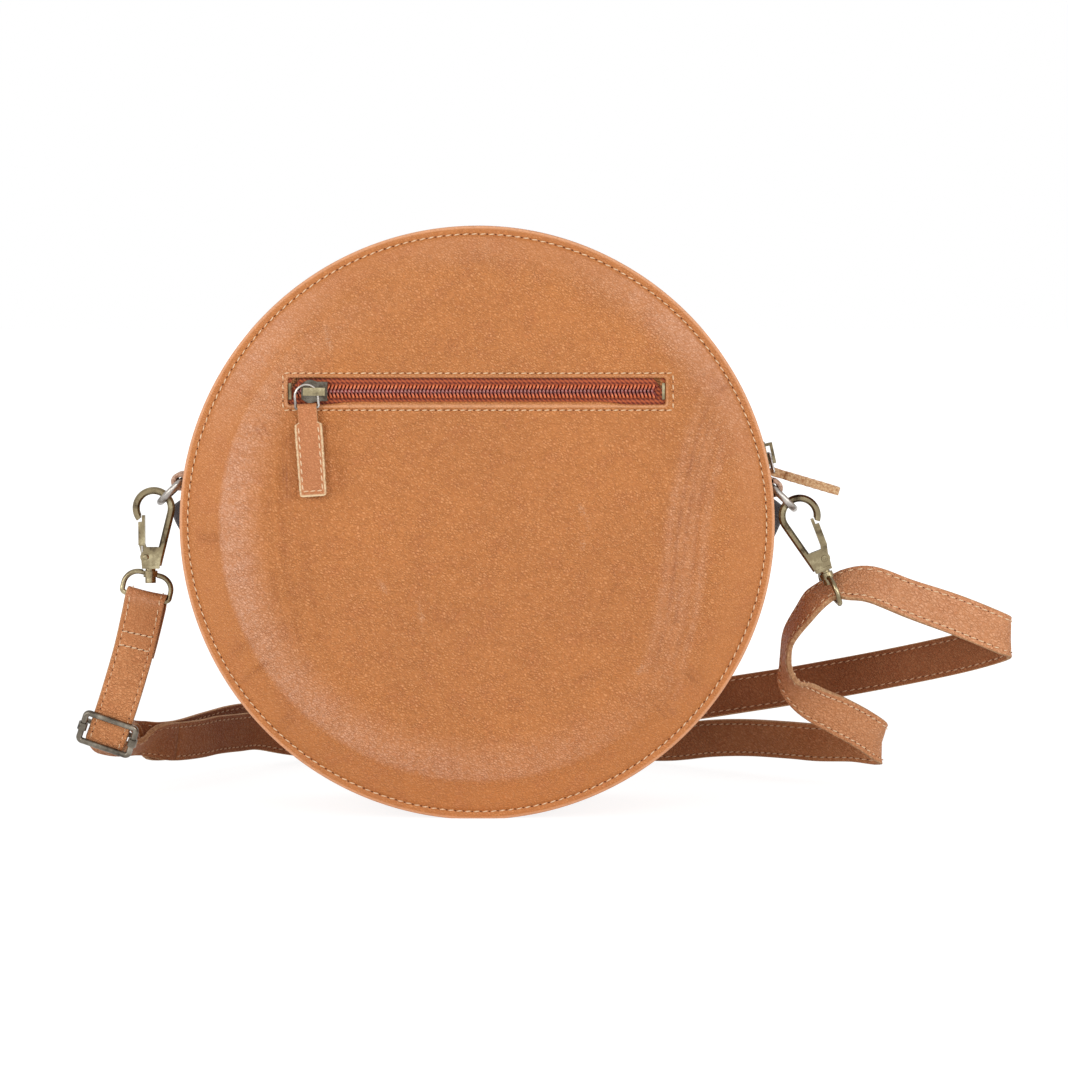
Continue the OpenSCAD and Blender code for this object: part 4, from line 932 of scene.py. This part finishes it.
# PULL TABS
# A strip of leather folded over the slider's wire link and sewn to itself round three sides,
# narrower at the fold. The cut edges are left raw, cream and hairy.
pull_w, pull_t, neck_w, swell = 11.4 * mm, 3.6 * mm, 7.8 * mm, 0.25 * mm
raw_ply = raw_edge_paint("raw_ply", srgb(222, 190, 146), srgb(172, 122, 80))
chance = np.random.default_rng(7)


def pull(name, node, body, bar, down, wide, length):
    """Both plies as one strip hanging from the bar along down. Its section is a rounded box with a
    groove at mid thickness; half its width follows the cut outline with a ragged edge, and its
    thickness is a half circle over the bar and a little fatter between the seams."""
    bar, down, wide = (np.asarray(v, float) for v in (bar, down, wide))
    face = np.cross(wide, down)
    s = np.concatenate([-pull_t / 2 * np.cos(np.linspace(0.12, np.pi / 2, 7)),
                        np.linspace(0.4, length / mm, 110) * mm])
    neck, foot_w = 0.16 * length, 0.965 * pull_w
    half = np.interp(s, [0, neck, neck + 0.9 * mm, length], [neck_w, neck_w, pull_w, foot_w]) / 2
    corner = np.clip((length - s) / (1.3 * mm), 0, 1)
    half = half - 1.2 * mm * (1 - np.sqrt(1 - (1 - corner) ** 2)) * (corner < 1)
    ragged = np.convolve(chance.normal(size=len(s) + 6), np.hanning(7) / 3.5, "valid") * 0.16 * mm
    half = half + np.where(s > neck, ragged, 0)
    thick = np.where(s < 0, 2 * np.sqrt(np.maximum((pull_t / 2) ** 2 - s ** 2, 1e-9)),
                     pull_t - swell * ease(s, 0, neck))
    edge = np.array([(0.99, 0.93), (1.0, 0.75), (0.992, 0.4), (0.955, 0.06)])
    edge = np.concatenate([edge, edge[::-1] * [1, -1]])
    across = np.array([-0.975, -0.9, -0.8, -0.66, -0.45, 0, 0.45, 0.66, 0.8, 0.9, 0.975])
    top = 1 - 0.14 * bell(np.abs(across) - 0.73, 0.09)
    section = np.concatenate([np.stack([across, top], 1), edge, np.stack([across[::-1], -top], 1),
                              edge[::-1] * [-1, 1]])
    P = ((bar + down * s[:, None])[:, None] + wide * (section[:, 0] * half[:, None])[..., None]
         + face * (section[:, 1] * thick[:, None] / 2)[..., None])
    faces = quads(len(s), len(section), False, True)
    column = np.arange(len(faces)) % len(section)
    raw = ((column >= 10) & (column < 19)) | (column >= 29)
    ends = [range(len(section)), range(len(s) * len(section) - 1, (len(s) - 1) * len(section) - 1, -1)]
    piece = make(name, P, [*faces, *ends], [pull_tan, raw_ply], [*raw, 0, 1])
    border = np.maximum(ease(np.abs(section[:, 0]), 0.8, 0.9)[None] * (s > neck)[:, None],
                        ease(s, length - 1.1 * mm, length - 0.5 * mm)[:, None])
    mark(piece, "pale", border * (0.75 + 0.25 * np.sin(s * 3100)[:, None] * np.sin(s * 1700 + 1)[:, None]))
    outwards(piece)
    fit(piece, body, node)
    x, low, high = 0.73 / 2 * foot_w, length - 2.3 * mm, neck + 1.6 * mm
    course = np.array([(-x, high), (-x, low), (x, low), (x, high)])
    for up, side in ((face, "face"), (-face, "back")):
        for number, (start, end) in enumerate(zip(course, course[1:])):
            count = max(2, round(math.dist(start, end) / (3.2 * mm)))
            line = start + (end - start) * ((np.arange(count) + 0.5) / count)[:, None]
            places = bar + wide * line[:, :1] + down * line[:, 1:] + up * (pull_t - swell) * 0.43
            along = np.tile(wide * (end - start)[0] + down * (end - start)[1], (count, 1))
            sew(f"{name}_{side}_{number}", places, along, np.tile(up, (count, 1)), body,
                2.5 * mm, 0.6 * mm, 5)


pull_tan = leather_paint("pull_leather", srgb(196, 124, 74), srgb(216, 164, 124), srgb(140, 78, 42), 0.8, 0.5,
                         bare=srgb(232, 206, 164))
lean = math.radians(3.8)
pull("pocket_pull", "pocket_pull_tab", "pocket_tab", (-0.069085, -0.04745, 0.170308),
     (math.sin(lean), 0, -math.cos(lean)), (-math.cos(lean), 0, -math.sin(lean)), 36.2 * mm)
lean = math.radians(73.5)
pull("main_pull", "main_pull_tab", "main_tab", (0.12428, 0, 0.141585), (math.sin(lean), 0, -math.cos(lean)),
     (0, 1, 0), 28.6 * mm)

# RING TABS AND D RINGS
# A short leather loop, sewn flat to the gusset above and below, holds each D ring. The rings are
# 3 mm steel wire bent to a D and butted in the loop, plated dull nickel.
tab_half, tab_t, tab_loop, up_arc, down_arc = 7.5 * mm, 1.9 * mm, 3.1 * mm, 3.0, 6.0
worn_tan = leather_paint("worn_leather", srgb(224, 188, 162), srgb(234, 206, 186), srgb(172, 124, 94),
                         0.7, 0.5)
raw_tab = raw_edge_paint("raw_tab", srgb(220, 188, 166), srgb(172, 130, 104))


def ring_tab(name, node, bar, angle, sign):
    """A strip 15 mm wide carried along a path in the XZ plane: down the gusset from above, out
    round the ring's bar on an arc, and on down the gusset."""
    angle = math.radians(angle)
    out = np.array([sign * math.cos(angle), math.sin(angle)])
    down = np.array([sign * math.sin(angle), -math.cos(angle)])
    turn = np.linspace(-0.62, math.pi + 0.62, 26)[:, None]
    loop = bar - down * 0.3 * mm + tab_loop * (np.sin(turn) * out - np.cos(turn) * down)

    def along_rim(degrees):
        """Places 0.8 mm outside the gusset, in degrees up from the ring's bar."""
        a = angle + np.radians(degrees)
        return np.stack([sign * (bag_r + 0.8 * mm) * np.cos(a), middle_z + (bag_r + 0.8 * mm) * np.sin(a)], 1)

    path = np.concatenate([along_rim(np.linspace(up_arc, 1.5, 6)), loop,
                           along_rim(np.linspace(-1.5, -down_arc, 6))])
    d = unit(np.gradient(path, axis=0))
    path = path + 0.7 * mm * sign * np.stack([-d[:, 1], d[:, 0]], 1)
    P = np.stack(np.broadcast_arrays(path[:, :1], tab_half * np.linspace(-1, 1, 13), path[:, 1:]), -1)
    if normals(P)[18, 6] @ [out[0], 0, out[1]] < 0:
        P = P[:, ::-1]
    fit(hide(name, P, tab_t, [worn_tan, raw_tab]), "bag", node)


ring_tab("left_tab", "left_ring_tab", (-0.125083, 0.13758), 7.1, -1)
ring_tab("right_tab", "right_ring_tab", (0.124044, 0.134819), 5.9, 1)

# METAL
# Cast zinc snap hooks and sliders in antique brass, brown in the hollows and rubbed bright on the
# ridges, the pocket slider lighter than the rest; dull nickel D rings and links; a gunmetal
# adjuster.
plate_y = 0.0466  # the pocket slider's upper plate lies before this


def metal_paint(name, bright, body, deep, rough, blotch=160.0, lower=None):
    """Plated metal: patina clouds between the dark and the bright tone, fine scratches and pits.
    With a lower tone, what lies behind the slider's plate takes that one."""
    paint, shader, place = new_paint(name)
    cloud, grit = place.noise(blotch, 4.0, 0.6), place.noise(2400.0, 3.0)
    tone = cloud.between(0.5, 0.78).mix(cloud.between(0.28, 0.5).mix(deep, body), bright)
    if lower:
        proud = 0 - place.node("SeparateXYZ", None, {"Vector": place}, 1)
        proud = proud.between(plate_y, plate_y + 0.5 * mm)
        tone = proud.mix(cloud.between(0.3, 0.7).mix(deep, lower), tone)
    feed(shader, tone, "Base Color")
    feed(shader, rough + (grit - 0.5) * 0.22 + (0.5 - cloud) * 0.25, "Roughness")
    shader.inputs["Metallic"].default_value = 1.0
    emboss(shader, grit * 0.5 + cloud, 0.25, 0.0002)
    return paint


brass = metal_paint("antique_brass", srgb(200, 188, 152), srgb(136, 123, 96), srgb(66, 55, 42), 0.32)
nickel = metal_paint("dull_nickel", srgb(214, 208, 200), srgb(168, 162, 156), srgb(104, 98, 94), 0.34)
gunmetal = metal_paint("gunmetal", srgb(168, 160, 146), srgb(112, 105, 94), srgb(56, 51, 46), 0.34)
two_tone = metal_paint("slider_brass", srgb(206, 194, 158), srgb(150, 138, 108), srgb(70, 62, 52), 0.3, 300.0,
                       srgb(118, 112, 102))
for node, piece in nodes.items():
    if "d_ring" in node or "link" in node or "spring" in node:
        coat = nickel
    elif "adjuster" in node:
        coat = gunmetal
    elif any(word in node for word in ("hook", "rivet", "swivel", "slider", "stops")):
        coat = two_tone if node == "pocket_zip_slider" else brass
    else:
        continue
    for slot in piece.material_slots:
        slot.material = coat

# BOARDS AND LININGS
# Grey pressed board stiffens both discs. The lining is a beige plain weave, glued in, and the
# pocket is a pouch of the same cloth behind the front board.


def cloth_paint():
    """Plain weave: two crossed waves from the object's own coordinates."""
    paint, shader, place = new_paint("lining_cloth", 0.85)
    weave = bands(place, "X", 420.0) * 0.5 + bands(place, "Z", 420.0) * 0.5
    feed(shader, weave.mix(srgb(150, 126, 92), srgb(196, 172, 134)), "Base Color")
    emboss(shader, weave, 0.5, 0.0002)
    return paint


def board_paint():
    """Pressed fibre board: grey-brown with darker fibres."""
    paint, shader, place = new_paint("pressed_board", 0.9)
    fibre = place.noise(380.0, 6.0, 0.7).between(0.3, 0.7)
    feed(shader, fibre.mix(srgb(112, 98, 84), srgb(158, 146, 128)), "Base Color")
    return paint


cloth, board = cloth_paint(), board_paint()
for node, piece in nodes.items():
    if "board" in node:
        for slot in piece.material_slots:
            slot.material = board


def lining(name, node, P):
    """A sheet of lining cloth, 0.6 mm thick, on the grid P."""
    fit(hide(name, P, 0.6 * mm, [cloth, cloth]), "bag", node)


def round_sheet(r, y):
    """Grid of rings from the middle out to radius r at depth y(r), a hair's breadth open there."""
    R = np.linspace(0.002, 1, 24)[:, None] * r
    return wheel(R, y(R), np.linspace(0, 2 * np.pi, 97))


lining("front_cloth", "front_lining", round_sheet(117 * mm, lambda r: -34.4 * mm + 0 * r))
lining("back_cloth", "back_lining",
       round_sheet(113 * mm, lambda r: rim_h + panel_height(r, middle_z + 0 * r, False) - 3.3 * mm))
y = np.linspace(-33.6, 33.6, 21) * mm
lining("band_cloth", "gusset_lining",
       wheel(web_out(y) - leather - 0.9 * mm, y, np.linspace(0, 2 * np.pi, 181)[:, None]))

# the pouch: one length of cloth folded at the bottom, sewn up both sides, open towards the zip
profile = np.array([(-41.7, 170.4), (-41.8, 160), (-41.9, 130), (-41.8, 100), (-41.4, 74), (-40.2, 71.2),
                    (-38.5, 70.6), (-36.8, 71.2), (-35.6, 74), (-35.3, 100), (-35.2, 130), (-35.3, 160),
                    (-35.4, 178), (-36.2, 182.6), (-38.5, 184.0), (-40.8, 183.9), (-41.7, 183.4)]) * mm
pouch_half, pouch_y = 81.4 * mm, -38.5 * mm
x = np.linspace(-pouch_half, pouch_half, 60)
pinch = 0.24 + 0.76 * ease(pouch_half - np.abs(x), 0, 4 * mm)
y = pouch_y + (profile[:, :1] - pouch_y) * pinch
lining("pocket_cloth", "pocket_pouch", np.stack(np.broadcast_arrays(x, y, profile[:, 1:]), -1))

# GROUND AND LIGHT
# A pale floor that runs on out of sight, a soft lamp at either side of the bag, another at either
# side of the camera, and an even white room around.
floor_tone, room_light = 0.86, 0.6


def onlooker(wire):
    """1 for the rays of the camera, of gloss and of glass, 0 for those that light the bag."""
    eye, gloss, glass = (wire.node("LightPath", out=k) for k in (0, 3, 6))
    return wire.maths("MAXIMUM", wire.maths("MAXIMUM", eye, gloss), glass)


world = bpy.data.worlds.new("room")
bpy.context.scene.world = world
world.use_nodes = True
room = Wire(world.node_tree)
backdrop = world.node_tree.nodes["Background"]
backdrop.inputs["Color"].default_value = (1, 1, 1, 1)
feed(backdrop, room.maths("MAXIMUM", onlooker(room), room_light), "Strength")

floor_mesh = bpy.data.meshes.new("floor")
floor_mesh.from_pydata([(-6, -6, 0), (6, -6, 0), (6, 12, 0), (-6, 12, 0)], [], [(0, 1, 2, 3)])
floor = bpy.data.objects.new("floor", floor_mesh)
bpy.context.scene.collection.objects.link(floor)
paint, shader, place = new_paint("floor", 0.9)
shader.inputs["Base Color"].default_value = (floor_tone, floor_tone, floor_tone, 1)
far = place.node("VectorMath", {"operation": "LENGTH"}, {0: place}, 1).between(0.25, 0.9)
glow = place.node("Emission", None, {"Color": far.mix((floor_tone,) * 3, (1.05, 1.05, 1.05))})
matt = place.node("BsdfDiffuse", None, {"Color": (0.3, 0.3, 0.3)})
seen = place.node("MixShader", None, {0: onlooker(place), 1: Wire(paint.node_tree, shader.outputs[0]),
                                      2: place.node("AddShader", None, {0: glow, 1: matt})})
feed(paint.node_tree.nodes["Material Output"], seen, "Surface")
floor_mesh.materials.append(paint)


def lamp(name, place, aim, size, power):
    """A square soft lamp at place that faces aim."""
    data = bpy.data.lights.new(name, "AREA")
    data.shape, data.size, data.energy = "SQUARE", size, power
    piece = bpy.data.objects.new(name, data)
    bpy.context.scene.collection.objects.link(piece)
    piece.location = place
    piece.rotation_euler = (Vector(aim) - Vector(place)).to_track_quat("-Z", "Y").to_euler()


lamp("side_lamp_left", (-1.5, -0.85, 0.45), (0, 0, 0.12), 0.8, 6)
lamp("side_lamp_right", (1.5, -0.85, 0.45), (0, 0, 0.12), 0.8, 5.5)
lamp("front_lamp_left", (-0.78, -1.5, 0.6), (0, 0, 0.12), 0.5, 7)
lamp("front_lamp_right", (0.86, -1.45, 0.55), (0, 0, 0.12), 0.5, 5.9)
bpy.context.scene.view_settings.view_transform = "Standard"
